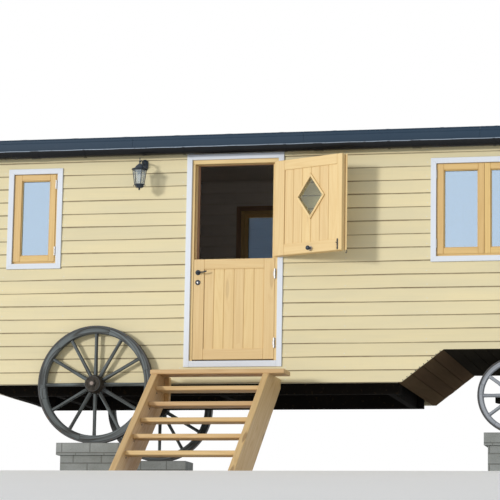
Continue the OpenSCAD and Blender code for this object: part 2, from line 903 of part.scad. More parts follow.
module wheel_tyre(radius, rim) {
    rotate([90, 0, 0]) difference() {
        translate([0, 0, -rim / 2]) cylinder(rim, radius, radius);
        translate([0, 0, -rim / 2 - 1]) cylinder(rim + 2, radius - tyre_thick, radius - tyre_thick);
    }
}

// puts a wheel on the front side (-1) or the back side (1)
module at_wheel(x, z, face, rim, side) {
    translate([x, mid_y + side * (body_width / 2 + face + rim / 2), z])
        rotate([0, 0, side > 0 ? 180 : 0]) children();
}

module rear_wheel(side) {
    color(grey_wood) at_wheel(-axle_x, rear_z, rear_face, rear_rim_width, side)
        wheel_wood(rear_radius, rear_rim_width, rear_spokes, rear_felloe, rear_hub);
}

module rear_tyre(side) {
    color(iron) at_wheel(-axle_x, rear_z, rear_face, rear_rim_width, side)
        wheel_tyre(rear_radius, rear_rim_width);
}

module front_wheel(side) {
    color(grey_wood) at_wheel(axle_x, front_z, front_face, front_rim_width, side)
        wheel_wood(front_radius, front_rim_width, front_spokes, front_felloe, front_hub);
}

module front_tyre(side) {
    color(iron) at_wheel(axle_x, front_z, front_face, front_rim_width, side)
        wheel_tyre(front_radius, front_rim_width);
}

module rear_wheel_front() {
    rear_wheel(-1);
}

module rear_tyre_front() {
    rear_tyre(-1);
}

module rear_wheel_back() {
    rear_wheel(1);
}

module rear_tyre_back() {
    rear_tyre(1);
}

module front_wheel_front() {
    front_wheel(-1);
}

module front_tyre_front() {
    front_tyre(-1);
}

module front_wheel_back() {
    front_wheel(1);
}

module front_tyre_back() {
    front_tyre(1);
}

front_wall_left();
front_wall_right();
front_wall_over_door();
back_wall();
left_end_wall();
right_end_wall();
floor();
arch_lining();
roof();
roof_edge();
gutters();
corner_boards();
door_frame();
door_hinges();
door_trim();
window_trims();
left_window();
right_window();
back_windows();
window_glass();
lantern_bracket();
lantern_frame();
lantern_glass();
lantern_bulb();
chassis_beams();
rear_axle();
front_axle();
turntable();
bolster();
wheel_pads();
step_strings();
step_treads();
step_cleats();
top_step();
lower_leaf_frame();
lower_leaf_boards();
lower_leaf_hinges();
lower_leaf_roses();
lever_handle();
upper_leaf_frame();
upper_leaf_boards();
upper_leaf_glass();
upper_leaf_hinges();
upper_leaf_knob();
rear_wheel_front();
rear_tyre_front();
rear_wheel_back();
rear_tyre_back();
front_wheel_front();
front_tyre_front();
front_wheel_back();
front_tyre_back();
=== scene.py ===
import json
import math
import random
from collections import namedtuple

import bmesh
import bpy
from mathutils import Matrix, Vector


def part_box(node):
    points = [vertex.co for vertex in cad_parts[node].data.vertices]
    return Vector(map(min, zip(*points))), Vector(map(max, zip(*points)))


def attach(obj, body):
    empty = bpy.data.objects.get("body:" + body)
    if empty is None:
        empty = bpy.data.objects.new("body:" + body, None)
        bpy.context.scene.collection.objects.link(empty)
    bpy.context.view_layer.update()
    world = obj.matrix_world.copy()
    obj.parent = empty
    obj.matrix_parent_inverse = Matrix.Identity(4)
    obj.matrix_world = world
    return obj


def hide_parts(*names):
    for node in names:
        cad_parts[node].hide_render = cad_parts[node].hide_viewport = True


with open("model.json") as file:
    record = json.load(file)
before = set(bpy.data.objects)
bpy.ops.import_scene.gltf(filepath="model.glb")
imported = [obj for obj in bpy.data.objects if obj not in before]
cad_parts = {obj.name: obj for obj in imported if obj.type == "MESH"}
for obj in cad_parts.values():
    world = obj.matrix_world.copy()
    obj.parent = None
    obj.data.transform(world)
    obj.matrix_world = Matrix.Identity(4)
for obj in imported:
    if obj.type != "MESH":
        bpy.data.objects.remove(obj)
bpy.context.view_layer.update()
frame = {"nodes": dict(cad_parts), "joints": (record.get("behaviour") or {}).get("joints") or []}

scene = bpy.context.scene
chance = random.Random(11)


# Places and sizes of the part's solids, most of them taken from the frame, in metres

def low(node):
    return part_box(node)[0]


def high(node):
    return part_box(node)[1]


def centre_of(box):
    return (box[0] + box[1]) / 2


def solids(node):
    """Boxes of the separate solids in a node, sorted from left to right and front to back."""
    mesh = frame["nodes"][node].data
    keys = [tuple(round(c, 5) for c in v.co) for v in mesh.vertices]
    parent = {key: key for key in keys}

    def root(key):
        while parent[key] != key:
            parent[key] = parent[parent[key]]
            key = parent[key]
        return key

    for face in mesh.polygons:
        first = root(keys[face.vertices[0]])
        for index in face.vertices[1:]:
            parent[root(keys[index])] = first
    groups = {}
    for key in parent:
        groups.setdefault(root(key), []).append(key)
    boxes = []
    for keys in groups.values():
        corners = list(zip(*keys))
        boxes.append((Vector(map(min, corners)), Vector(map(max, corners))))
    return sorted(boxes, key=lambda box: (round(box[0].x, 2), round(box[0].y, 2), box[0].z))


def seat_at(point, axis="X", quarters=1):
    """A place turned about one axis by quarter turns."""
    return Matrix.Translation(point) @ Matrix.Rotation(quarters * math.pi / 2, 4, axis)


joints = {joint["name"]: joint for joint in frame["joints"]}
BODY_LEFT = low("front_wall_left").x
BODY_RIGHT = high("front_wall_right").x
FRONT = low("front_wall_left").y
BACK = high("back_wall").y
MIDDLE = (FRONT + BACK) / 2
HALF_WIDTH = (BACK - FRONT) / 2
WALL = high("front_wall_left").y - FRONT
SKIRT = low("front_wall_left").z
FLOOR_TOP = high("floor").z
ROOF_THICK = 0.045
ROOF_RISE = 0.170
EAVES = high("roof").z - ROOF_RISE - ROOF_THICK
ROOF_HALF = (high("roof").y - low("roof").y) / 2
ROOF_RADIUS = (ROOF_HALF ** 2 + ROOF_RISE ** 2) / (2 * ROOF_RISE)
ROOF_CENTRE = EAVES + ROOF_RISE - ROOF_RADIUS
ARCH_X = joints["front_front_spin"]["pos_m"][0]
ARCH_TOP = SKIRT + 0.315
ARCH_HALF_TOP = 1.384 / 2
ARCH_HALF_FOOT = 2.204 / 2
ARCH_LINING = 0.028
FRONT_FACE = Matrix.Translation((0, FRONT, 0))
BACK_FACE = seat_at((0, BACK, 0), "Z", 2)
LEFT_FACE = seat_at((BODY_LEFT, MIDDLE, 0), "Z", -1)
RIGHT_FACE = seat_at((BODY_RIGHT, MIDDLE, 0), "Z", 1)

# Sizes of what is added here, in metres

COURSE = 0.134
FIRST_COURSE = 0.119
LAP = 0.012
BUTT_EDGE = 0.014
FEATHER_EDGE = 0.005
CORNER_BOARD = 0.095
TRIM = 0.054
TRIM_THICK = 0.026
ROOM_COURSE = 0.118
ROOM_BOARD = 0.010
SEAM_PITCH = 0.56


# Camera at the photograph's place, looking slightly up and to the left

CAMERA_PLACE = Vector((4.5185, FRONT - 22.536, -1.3913))
CAMERA_LEFT_TURN = 0.2211
CAMERA_TILT_UP = 0.1596
CAMERA_ROLL = 0.0162
FOCAL_PIXELS = 2355.435
PICTURE_PIXELS = 500
SENSOR = 36
FARTHEST = 300


def make_camera():
    turn, tilt, roll = CAMERA_LEFT_TURN, CAMERA_TILT_UP, CAMERA_ROLL
    level = Vector((math.cos(turn), math.sin(turn), 0))
    ahead = Vector((-math.sin(turn) * math.cos(tilt), math.cos(turn) * math.cos(tilt), math.sin(tilt)))
    above = level.cross(ahead)
    right = math.cos(roll) * level + math.sin(roll) * above
    upward = math.cos(roll) * above - math.sin(roll) * level
    data = bpy.data.cameras.new("camera")
    data.sensor_width = SENSOR
    data.lens = FOCAL_PIXELS / PICTURE_PIXELS * SENSOR
    data.clip_end = FARTHEST
    camera = bpy.data.objects.new("camera", data)
    scene.collection.objects.link(camera)
    place = Matrix((right, upward, -ahead)).transposed().to_4x4()
    place.translation = CAMERA_PLACE
    camera.matrix_world = place
    scene.camera = camera


make_camera()


# Joinery: boards, bars, bent and turned parts gathered into one piece

WAYS = {"x": (0, 2, 1), "y": (1, 0, 2), "z": (2, 0, 1)}
LOG_REACH = 40
SHARPEST_TURN = 0.3
BAR_SIDES = 10
SMOOTH_BELOW = math.radians(35)


def round_turn(sides):
    return [2 * math.pi * k / sides for k in range(sides)]


def upright_grain(p):
    return Vector((p.z, p.x, p.y))


def pick_wood():
    """A random place in the log and a random tone."""
    place = Vector([chance.uniform(0, LOG_REACH) for way in "xyz"])
    return place, chance.random()


def eased(w0, w1, d0, d1, ease):
    """Corners of a rectangle with cut corners."""
    return [(w0 + ease, d0), (w1 - ease, d0), (w1, d0 + ease), (w1, d1 - ease),
            (w1 - ease, d1), (w0 + ease, d1), (w0, d1 - ease), (w0, d0 + ease)]


def shrunk(points, by):
    """An outline moved inwards; its corners run anticlockwise."""
    result = []
    for k, point in enumerate(points):
        here = Vector(point)
        one = (here - Vector(points[k - 1])).normalized()
        two = (Vector(points[(k + 1) % len(points)]) - here).normalized()
        inward = Vector((-one.y, one.x)) + Vector((-two.y, two.x))
        inward.normalize()
        turn = max(SHARPEST_TURN, inward.dot(Vector((-one.y, one.x))))
        result.append(here + inward * (by / turn))
    return result


class Joinery:
    """Parts of one material on one body; each part has grain and tone of its own."""

    def __init__(self, place=Matrix()):
        self.place = place
        self.points = []
        self.faces = []
        self.grain = []
        self.tone = []
        self.across = []

    def loft(self, rings, place=Matrix(), grain=None, wood=None, across=None):
        """A solid through rings of points; grain turns a point into (along, across, deep)."""
        first = len(self.points)
        count = len(rings[0])
        start, tone = wood or pick_wood()
        place = self.place @ place
        for ring in rings:
            for p, point in enumerate(ring):
                point = Vector(point)
                self.points.append(place @ point)
                self.grain.append((grain(point) if grain else point) + start)
                self.tone.append(tone)
                self.across.append(across[p] if across else 0.5)
        last = len(self.points) - count
        for a in range(first, last, count):
            for p in range(count):
                q = (p + 1) % count
                self.faces.append((a + p, a + q, a + count + q, a + count + p))
        self.faces.append(tuple(range(first + count - 1, first - 1, -1)))
        self.faces.append(tuple(range(last, last + count)))

    def board(self, a, b, way="x", ease=0.003, ends=(0, 0)):
        """A board between corners a and b, grain along way, with eased edges.

        Ends other than 0 lean by that much for each unit across the board, for mitres.
        """
        along, wide, deep = WAYS[way]
        ease = min(ease, (b[wide] - a[wide]) / 3, (b[deep] - a[deep]) / 3)
        full = eased(a[wide], b[wide], a[deep], b[deep], ease)
        if ends == (0, 0):
            small = eased(a[wide] + ease, b[wide] - ease, a[deep] + ease, b[deep] - ease, ease / 3)
            stations = [(a[along], small, 0), (a[along] + ease, full, 0),
                        (b[along] - ease, full, 0), (b[along], small, 0)]
        else:
            stations = [(a[along], full, ends[0]), (b[along], full, ends[1])]
        rings = []
        for t, outline, lean in stations:
            ring = []
            for w, d in outline:
                point = [0, 0, 0]
                point[along] = t + lean * (w - a[wide])
                point[wide] = w
                point[deep] = d
                ring.append(point)
            rings.append(ring)
        self.loft(rings, grain=lambda p: Vector((p[along], p[wide], p[deep])))

    def cut_out(self, outline, x0, x1, grain=None, ease=0.003):
        """A plank of any outline in the YZ plane, between x0 and x1."""
        small = shrunk(outline, ease)
        stations = ((x0, small), (x0 + ease, outline), (x1 - ease, outline), (x1, small))
        self.loft([[(x, y, z) for y, z in shape] for x, shape in stations], grain=grain)

    def turned(self, profile, place=Matrix(), sides=24):
        """A part turned round its z axis from (radius, height) pairs."""
        rings = [[(radius * math.cos(t), radius * math.sin(t), height) for t in round_turn(sides)]
                 for radius, height in profile]
        self.loft(rings, place, upright_grain)

    def bent(self, path, radius):
        """A round bar along a path; radius is one number or one for each point."""
        path = [Vector(p) for p in path]
        radii = radius if isinstance(radius, (list, tuple)) else [radius] * len(path)
        rings = []
        side = None
        for k, point in enumerate(path):
            ahead = (path[min(k + 1, len(path) - 1)] - path[max(k - 1, 0)]).normalized()
            if side is None:
                side = ahead.orthogonal().normalized()
            side = (side - ahead * side.dot(ahead)).normalized()
            other = ahead.cross(side)
            rings.append([point + radii[k] * (math.cos(t) * side + math.sin(t) * other)
                          for t in round_turn(BAR_SIDES)])
        self.loft(rings)

    def make(self, name, material, slot, body="hut", replaces=()):
        """Turns the parts into one piece that rides on a body."""
        mesh = bpy.data.meshes.new(name)
        mesh.from_pydata(self.points, [], self.faces)
        grain = [c for v in self.grain for c in v]
        for label, kind, field, values in (("grain", "FLOAT_VECTOR", "vector", grain),
                                           ("tone", "FLOAT", "value", self.tone),
                                           ("across", "FLOAT", "value", self.across)):
            mesh.attributes.new(label, kind, "POINT").data.foreach_set(field, values)
        bm = bmesh.new()
        bm.from_mesh(mesh)
        bmesh.ops.recalc_face_normals(bm, faces=bm.faces)
        bm.to_mesh(mesh)
        bm.free()
        mesh.polygons.foreach_set("use_smooth", [True] * len(mesh.polygons))
        mesh.set_sharp_from_angle(angle=SMOOTH_BELOW)
        mesh.materials.append(material)
        piece = bpy.data.objects.new(name, mesh)
        scene.collection.objects.link(piece)
        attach(piece, body)
        if replaces:
            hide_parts(*replaces)


# Shader trees

class Tree:
    """Short ways to add nodes to one tree and join them."""

    def __init__(self, tree):
        self.nodes = tree.nodes
        self.links = tree.links

    def put(self, socket, value):
        """Joins another socket to this one or sets its value; a colour is (red, green, blue)."""
        if isinstance(value, bpy.types.NodeSocket):
            self.links.new(value, socket)
        elif socket.type == "RGBA":
            socket.default_value = (*value, 1)
        else:
            socket.default_value = value

    def node(self, kind, inputs=(), **settings):
        made = self.nodes.new("ShaderNode" + kind)
        for name, value in settings.items():
            setattr(made, name, value)
        for name, value in dict(inputs).items():
            self.put(made.inputs[name], value)
        return made

    def effect(self, group, inputs):
        return self.node("Group", inputs, node_tree=group).outputs

    def place(self):
        """The place on the piece."""
        return self.node("TexCoord").outputs["Object"]

    def attribute(self, name, output="Fac"):
        return self.node("Attribute", attribute_name=name).outputs[output]

    def stretch(self, vector, by):
        return self.node("VectorMath", {0: vector, 1: by}, operation="MULTIPLY").outputs[0]

    def noise(self, vector, scale=1.0, detail=2.0):
        made = self.node("TexNoise", {"Vector": vector, "Scale": scale, "Detail": detail})
        return made.outputs["Fac"]

    def streaks(self, vector, by, detail=3.0):
        """Noise that is finer along some axes than along others."""
        return self.noise(self.stretch(vector, by), 1.0, detail)

    def maths(self, operation, one, two=0.0):
        return self.node("Math", {0: one, 1: two}, operation=operation).outputs[0]

    def times(self, one, two):
        return self.maths("MULTIPLY", one, two)

    def plus(self, one, two):
        return self.maths("ADD", one, two)

    def span(self, value, low_end, high_end, to_low=0.0, to_high=1.0):
        made = self.node("MapRange", {"Value": value, "From Min": low_end, "From Max": high_end,
                                      "To Min": to_low, "To Max": to_high})
        return made.outputs["Result"]

    def blend(self, factor, one, two):
        return self.node("Mix", {0: factor, 6: one, 7: two}, data_type="RGBA").outputs[2]

    def relief(self, height, strength, depth):
        """The normal of a surface with this height."""
        bump = self.node("Bump", {"Height": height, "Strength": strength, "Distance": depth})
        return bump.outputs[0]


FINISH = {"Colour": "Color", "Height": "Float", "Roughness": "Float"}


def new_effect(name, inputs, outputs):
    """An empty node group with named sockets, its tree, what it is given and what it gives."""
    group = bpy.data.node_groups.new(name, "ShaderNodeTree")
    for way, sockets in (("INPUT", inputs), ("OUTPUT", outputs)):
        for label, kind in sockets.items():
            group.interface.new_socket(label, in_out=way, socket_type="NodeSocket" + kind)
    given = group.nodes.new("NodeGroupInput").outputs
    gives = group.nodes.new("NodeGroupOutput").inputs
    return group, Tree(group), given, gives


def wood_grain():
    """Rings, fibres and knots along the first axis of the vector."""
    group, t, given, gives = new_effect(
        "wood grain", {"Vector": "Vector", "Tone": "Float", "Pale": "Color", "Dark": "Color",
                       "Contrast": "Float", "Knots": "Float"}, FINISH)
    vector = given["Vector"]
    spots = t.node("TexVoronoi", {"Vector": t.stretch(vector, (1.7, 9.0, 9.0)), "Scale": 1.0})
    picked = t.node("SeparateColor", {"Color": spots.outputs["Color"]}).outputs[0]
    chosen = t.span(picked, 0.80, 0.82)
    near = t.times(t.span(spots.outputs["Distance"], 0.45, 0.05), chosen)
    knot = t.times(t.span(spots.outputs["Distance"], 0.20, 0.12), chosen)
    field = t.streaks(vector, (0.42, 7.5, 7.5), 1.5)
    bent = t.plus(field, t.times(near, 0.10))
    rings = t.maths("SINE", t.times(bent, 78.0))
    rings = t.maths("POWER", t.span(rings, -1.0, 1.0), 1.8)
    fibres = t.streaks(vector, (7.0, 330.0, 330.0))
    streaks = t.streaks(vector, (1.1, 48.0, 48.0), 2.0)
    mixed = t.plus(t.times(rings, 0.55), t.times(t.span(streaks, 0.3, 0.7), 0.45))
    mixed = t.plus(mixed, t.times(t.span(fibres, 0.3, 0.7), 0.25))
    colour = t.blend(t.times(mixed, given["Contrast"]), given["Pale"], given["Dark"])
    heart = t.blend(0.65, given["Dark"], (0.10, 0.04, 0.015))
    colour = t.blend(t.times(knot, given["Knots"]), colour, heart)
    shift = t.node("HueSaturation", {"Color": colour,
                                     "Hue": t.span(given["Tone"], 0.0, 1.0, 0.494, 0.505),
                                     "Value": t.span(given["Tone"], 0.0, 1.0, 0.90, 1.08)})
    t.put(gives["Colour"], shift.outputs[0])
    t.put(gives["Height"], t.plus(fibres, t.times(rings, 0.35)))
    t.put(gives["Roughness"], t.span(mixed, 0.0, 1.2, 0.42, 0.66))
    return group


def paint_coat():
    """Brushed paint that has faded in patches, with a dark stripe of painted shade and grime under a
    covered edge.
    """
    group, t, given, gives = new_effect(
        "paint coat", {"Vector": "Vector", "Tone": "Float", "Across": "Float", "Paint": "Color",
                       "Faded": "Color", "Dirt": "Color", "Edge Dirt": "Float"}, FINISH)
    vector = given["Vector"]
    patches = t.span(t.streaks(vector, (0.9, 5.0, 5.0)), 0.35, 0.68)
    brush = t.streaks(vector, (5.0, 260.0, 260.0), 2.0)
    grain = t.streaks(vector, (1.5, 70.0, 70.0))
    colour = t.blend(t.times(patches, 0.7), given["Paint"], given["Faded"])
    colour = t.blend(t.times(t.span(grain, 0.52, 0.75), 0.35), colour, given["Faded"])
    ragged = t.span(t.streaks(vector, (9.0, 40.0, 40.0)), 0.2, 0.8, 0.55, 1.0)
    # Painted shade: a dark stripe just under the covered edge, where the board above shades this one,
    # with some grime in it.
    lap_shade_stripe = t.times(t.span(given["Across"], 0.915, 0.985), given["Edge Dirt"])
    colour = t.blend(t.times(lap_shade_stripe, ragged), colour, given["Dirt"])
    # Painted shade at the foot of each board, darker towards its lower edge.
    lower = t.times(t.span(given["Across"], 0.030, 0.0), 0.85)
    colour = t.blend(t.times(lower, given["Edge Dirt"]), colour, given["Dirt"])
    shift = t.node("HueSaturation", {"Color": colour,
                                     "Value": t.span(given["Tone"], 0.0, 1.0, 0.965, 1.03)})
    t.put(gives["Colour"], shift.outputs[0])
    t.put(gives["Height"], t.plus(t.times(brush, 0.6), grain))
    t.put(gives["Roughness"], t.span(grain, 0.3, 0.7, 0.48, 0.66))
    return group


def rain_marks():
    """Mask of faint upright streaks, from the place on the hut."""
    group, t, given, gives = new_effect(
        "rain marks", {"Vector": "Vector", "Amount": "Float"}, {"Mask": "Float"})
    streaks = t.streaks(given["Vector"], (26.0, 26.0, 0.9))
    cloud = t.noise(given["Vector"], 0.9, 3.0)
    mask = t.times(t.span(streaks, 0.50, 0.80), t.span(cloud, 0.35, 0.70))
    t.put(gives["Mask"], t.times(mask, given["Amount"]))
    return group


def coated_metal():
    """Paint or blacking on metal, dusty, with worn spots."""
    group, t, given, gives = new_effect(
        "coated metal", {"Vector": "Vector", "Coat": "Color", "Dust": "Color", "Worn": "Color",
                         "Dust Amount": "Float", "Wear": "Float", "Shine": "Float"}, FINISH)
    vector = given["Vector"]
    cloud = t.noise(vector, 3.0, 4.0)
    fine = t.noise(vector, 240.0, 3.0)
    spots = t.noise(vector, 28.0, 5.0)
    upward = t.node("SeparateXYZ", {0: t.node("NewGeometry").outputs["Normal"]}).outputs[2]
    lying = t.span(upward, 0.2, 0.9, 0.35, 1.0)
    dust = t.times(t.span(cloud, 0.3, 0.7), t.times(lying, given["Dust Amount"]))
    bare = t.times(t.span(spots, 0.60, 0.66), given["Wear"])
    colour = t.blend(dust, given["Coat"], given["Dust"])
    t.put(gives["Colour"], t.blend(bare, colour, given["Worn"]))
    t.put(gives["Height"], t.maths("SUBTRACT", fine, bare))
    rough = t.plus(given["Shine"], t.times(dust, 0.4))
    t.put(gives["Roughness"], t.plus(rough, t.span(fine, 0.3, 0.7, -0.05, 0.06)))
    return group


def cast_stone():
    """Concrete with pores, stains and a coarse skin."""
    group, t, given, gives = new_effect(
        "cast stone", {"Vector": "Vector", "Pale": "Color", "Stain": "Color", "Stains": "Float"},
        FINISH)
    vector = given["Vector"]
    cloud = t.noise(vector, 2.4, 5.0)
    grit = t.noise(vector, 160.0, 4.0)
    pores = t.node("TexVoronoi", {"Vector": vector, "Scale": 46.0}).outputs["Distance"]
    pore = t.span(pores, 0.16, 0.10)
    stained_part = t.times(t.span(cloud, 0.35, 0.72), given["Stains"])
    colour = t.blend(stained_part, given["Pale"], given["Stain"])
    colour = t.blend(t.span(grit, 0.45, 0.75, 0.0, 0.35), colour, given["Stain"])
    t.put(gives["Colour"], t.blend(t.times(pore, 0.6), colour, given["Stain"]))
    height = t.maths("SUBTRACT", grit, t.times(pore, 0.8))
    t.put(gives["Height"], t.plus(height, t.times(cloud, 1.5)))
    t.put(gives["Roughness"], t.span(grit, 0.3, 0.7, 0.78, 0.95))
    return group


WOOD_GRAIN = wood_grain()
PAINT_COAT = paint_coat()
RAIN_MARKS = rain_marks()
COATED_METAL = coated_metal()
CAST_STONE = cast_stone()


def new_material(name):
    """A material, its tree and its shader's inputs."""
    material = bpy.data.materials.new(name)
    material.use_nodes = True
    shader = material.node_tree.nodes["Principled BSDF"]
    return material, Tree(material.node_tree), shader.inputs


def fix(shader, **values):
    """Sets sockets that are the same all over; _ stands for a space in their names."""
    for name, value in values.items():
        shader[name.replace("_", " ")].default_value = value


def surface(t, shader, effect, strength, depth):
    """Joins an effect's colour, roughness and height to the shader."""
    t.put(shader["Base Color"], effect["Colour"])
    t.put(shader["Roughness"], effect["Roughness"])
    t.put(shader["Normal"], t.relief(effect["Height"], strength, depth))


def grained(name, pale, dark, contrast=0.6, knots=0.5, framed=False, coat=0.0, bump=0.35,
            spread=1.0, gloss=0.5):
    """Wood that shows its grain; framed is for nodes that came with the frame.

    Spread is how far the tones of its parts lie from one another.
    """
    material, t, shader = new_material(name)
    vector = t.place() if framed else t.attribute("grain", "Vector")
    tone = 0.5 if framed else t.span(t.attribute("tone"), 0.0, 1.0, 0.5 - spread / 2, 0.5 + spread / 2)
    wood = t.effect(WOOD_GRAIN, {"Vector": vector, "Tone": tone, "Pale": pale, "Dark": dark,
                                 "Contrast": contrast, "Knots": knots})
    surface(t, shader, wood, bump, 0.001)
    fix(shader, Specular_IOR_Level=gloss, Coat_Weight=coat, Coat_Roughness=0.35)
    return material


def painted(name, paint, faded, lap_grime_and_shade, lap_grime_and_shade_amount=0.0, rain=0.3, framed=False):
    """Painted boards; framed is for nodes that came with the frame."""
    material, t, shader = new_material(name)
    vector = t.place() if framed else t.attribute("grain", "Vector")
    tone = 0.5 if framed else t.attribute("tone")
    across = 0.5 if framed else t.attribute("across")
    coat = t.effect(PAINT_COAT, {"Vector": vector, "Tone": tone, "Across": across, "Paint": paint,
                                 "Faded": faded, "Dirt": lap_grime_and_shade, "Edge Dirt": lap_grime_and_shade_amount})
    surface(t, shader, coat, 0.3, 0.001)
    marks = t.effect(RAIN_MARKS, {"Vector": t.place(), "Amount": rain})
    t.put(shader["Base Color"], t.blend(marks["Mask"], coat["Colour"], faded))
    return material


def metal(name, coat, dust, worn, dust_amount, wear, shine, metallic=0.0, gloss=0.5):
    """Coated or bare metal."""
    material, t, shader = new_material(name)
    skin = t.effect(COATED_METAL, {"Vector": t.place(), "Coat": coat, "Dust": dust, "Worn": worn,
                                   "Dust Amount": dust_amount, "Wear": wear, "Shine": shine})
    surface(t, shader, skin, 0.15, 0.0008)
    fix(shader, Specular_IOR_Level=gloss, Metallic=metallic)
    return material


def glazed(name, tint, see_through, mirror=0.0, solid=1.0):
    """Glass with a tint; mirror is how much of the sky it throws back."""
    material, t, shader = new_material(name)
    t.put(shader["Base Color"], tint)
    fix(shader, Roughness=0.03, IOR=1.5, Transmission_Weight=see_through, Metallic=mirror, Alpha=solid)
    waves = t.streaks(t.place(), (3.0, 3.0, 1.6), 1.0)
    t.put(shader["Normal"], t.relief(waves, 0.08, 0.01))
    return material


# The cream boards carry the painted shade stripe under each lap, at full amount.
cream = painted("cream paint on lap boards", (0.79, 0.69, 0.42), (0.69, 0.625, 0.41),
                (0.15, 0.10, 0.045), lap_grime_and_shade_amount=1.0)
cream_wall = painted("cream paint on the wall core", (0.70, 0.61, 0.38), (0.60, 0.54, 0.36),
                     (0.20, 0.15, 0.08), framed=True)
white = painted("white gloss on trims", (0.76, 0.81, 0.89), (0.68, 0.73, 0.81),
                (0.30, 0.28, 0.25), rain=0.25)
honey = grained("honey pine", (0.79, 0.59, 0.285), (0.65, 0.42, 0.18), 0.32, 0.25, coat=0.12,
                spread=0.45)
casement_wood = grained("golden casement pine", (0.75, 0.52, 0.205), (0.58, 0.36, 0.115), 0.38, 0.2,
                        coat=0.2, spread=0.6)
stop_wood = grained("red brown door lining", (0.36, 0.19, 0.10), (0.22, 0.105, 0.05), 0.5, 0.2)
fresh = grained("fresh pine", (0.70, 0.49, 0.24), (0.50, 0.31, 0.13), 0.50, 0.7, bump=0.45)
stained = grained("dark stained boards", (0.138, 0.094, 0.056), (0.094, 0.064, 0.037), 0.35, 0.0,
                  gloss=0.0)
# Painted shade: the arch's stained boards again, far darker, for the top of the arch, which lies in
# shade.
shaded_stain = grained("black brown arch boards", (0.036, 0.032, 0.025), (0.025, 0.022, 0.017), 0.3,
                       0.0, gloss=0.0)
room_wood = grained("room boards", (0.74, 0.67, 0.60), (0.62, 0.55, 0.48), 0.25, 0.1, spread=0.2)
brown_trim = grained("brown room trim", (0.38, 0.23, 0.14), (0.27, 0.155, 0.09), 0.5, 0.2, gloss=0.3)
floor_wood = grained("floor deck", (0.15, 0.09, 0.05), (0.07, 0.04, 0.02), 0.7, 0.4, framed=True,
                     gloss=0.2)
grey_wood = grained("weathered wheel wood", (0.152, 0.182, 0.192), (0.036, 0.035, 0.032), 1.0, 0.3,
                    bump=1.0, gloss=0.25)
pale_wood = grained("limewashed wheel wood", (0.42, 0.45, 0.50), (0.18, 0.195, 0.22), 0.8, 0.2,
                    bump=0.8, gloss=0.3)
nave_wood = grained("dark nave wood", (0.045, 0.037, 0.027), (0.018, 0.014, 0.010), 1.0, 0.0, bump=1.0,
                    gloss=0.2)
slate = metal("slate blue sheet", (0.022, 0.048, 0.084), (0.075, 0.105, 0.14), (0.06, 0.08, 0.11),
              0.20, 0.10, 0.42, gloss=0.20)
black = metal("black gutter metal", (0.008, 0.009, 0.011), (0.030, 0.031, 0.032), (0.05, 0.045, 0.04),
              0.25, 0.10, 0.20, gloss=0.22)
# Painted highlight: the lip bead is pale blue grey, far lighter than the black gutter, to stand for the
# light the lip catches; its metallic part reflects for real.
lip_painted_highlight = metal("bright gutter lip", (0.34, 0.41, 0.50), (0.10, 0.13, 0.17), (0.08, 0.08, 0.08),
                   0.8, 0.5, 0.25, metallic=0.4)
blacking = metal("blackened iron", (0.022, 0.034, 0.052), (0.060, 0.075, 0.095),
                 (0.07, 0.055, 0.045), 0.20, 0.15, 0.30, gloss=0.35)
underframe = metal("underframe black", (0.012, 0.011, 0.010), (0.040, 0.034, 0.028),
                   (0.06, 0.04, 0.022), 0.5, 0.4, 0.85, gloss=0.02)
tyre_iron = metal("worn tyre iron", (0.050, 0.053, 0.056), (0.09, 0.08, 0.07),
                  (0.09, 0.055, 0.03), 0.5, 0.7, 0.50, metallic=0.55)
nut_iron = metal("greased axle nut", (0.045, 0.040, 0.036), (0.09, 0.075, 0.06),
                 (0.20, 0.11, 0.06), 0.4, 0.5, 0.50, metallic=0.3, gloss=0.3)
rubbed_iron = metal("rubbed axle end", (0.22, 0.18, 0.16), (0.16, 0.13, 0.11),
                    (0.14, 0.08, 0.05), 0.4, 0.6, 0.50, metallic=0.6)
pale_rose = metal("pale knob rose", (0.55, 0.47, 0.40), (0.45, 0.42, 0.38), (0.40, 0.30, 0.20),
                  0.3, 0.2, 0.35, metallic=0.4)
steel = metal("hinge steel", (0.46, 0.46, 0.47), (0.34, 0.33, 0.32), (0.30, 0.27, 0.23),
              0.3, 0.3, 0.32, metallic=0.9)
zinc = metal("zinc nail heads", (0.70, 0.71, 0.70), (0.50, 0.50, 0.48), (0.40, 0.34, 0.28),
             0.3, 0.3, 0.40, metallic=0.3)
# Painted reflection: the sky blue tint, thrown back by the metallic mirror, stands for a blue sky
# reflected in the glazing.
pane_painted_sky = glazed("window glass", (0.60, 0.76, 0.93), 0.85, 0.70)
clear_pane = glazed("clear diamond glass", (0.80, 0.86, 0.78), 0.95)
lantern_pane = glazed("lantern glass", (0.62, 0.72, 0.78), 0.0, solid=0.25)


def stone_material():
    """Concrete slabs on block piers, with mortar lines between the blocks."""
    material, t, shader = new_material("concrete slabs and blocks")
    stone = t.effect(CAST_STONE, {"Vector": t.place(), "Pale": (0.36, 0.38, 0.38),
                                  "Stain": (0.13, 0.14, 0.12), "Stains": 0.75})
    parts = t.node("SeparateXYZ", {0: t.place()}).outputs
    flat = t.node("CombineXYZ", {0: t.plus(parts[0], parts[1]), 1: parts[2]}).outputs[0]
    bond = t.node("TexBrick", {"Vector": flat, "Scale": 1.0, "Mortar Size": 0.006,
                               "Mortar Smooth": 0.3, "Brick Width": 0.29, "Row Height": 0.10})
    joint = bond.outputs["Fac"]
    t.put(shader["Base Color"], t.blend(t.times(joint, 0.6), stone["Colour"], (0.10, 0.10, 0.09)))
    t.put(shader["Roughness"], stone["Roughness"])
    height = t.maths("SUBTRACT", stone["Height"], t.times(joint, 3.0))
    t.put(shader["Normal"], t.relief(height, 0.7, 0.003))
    return material


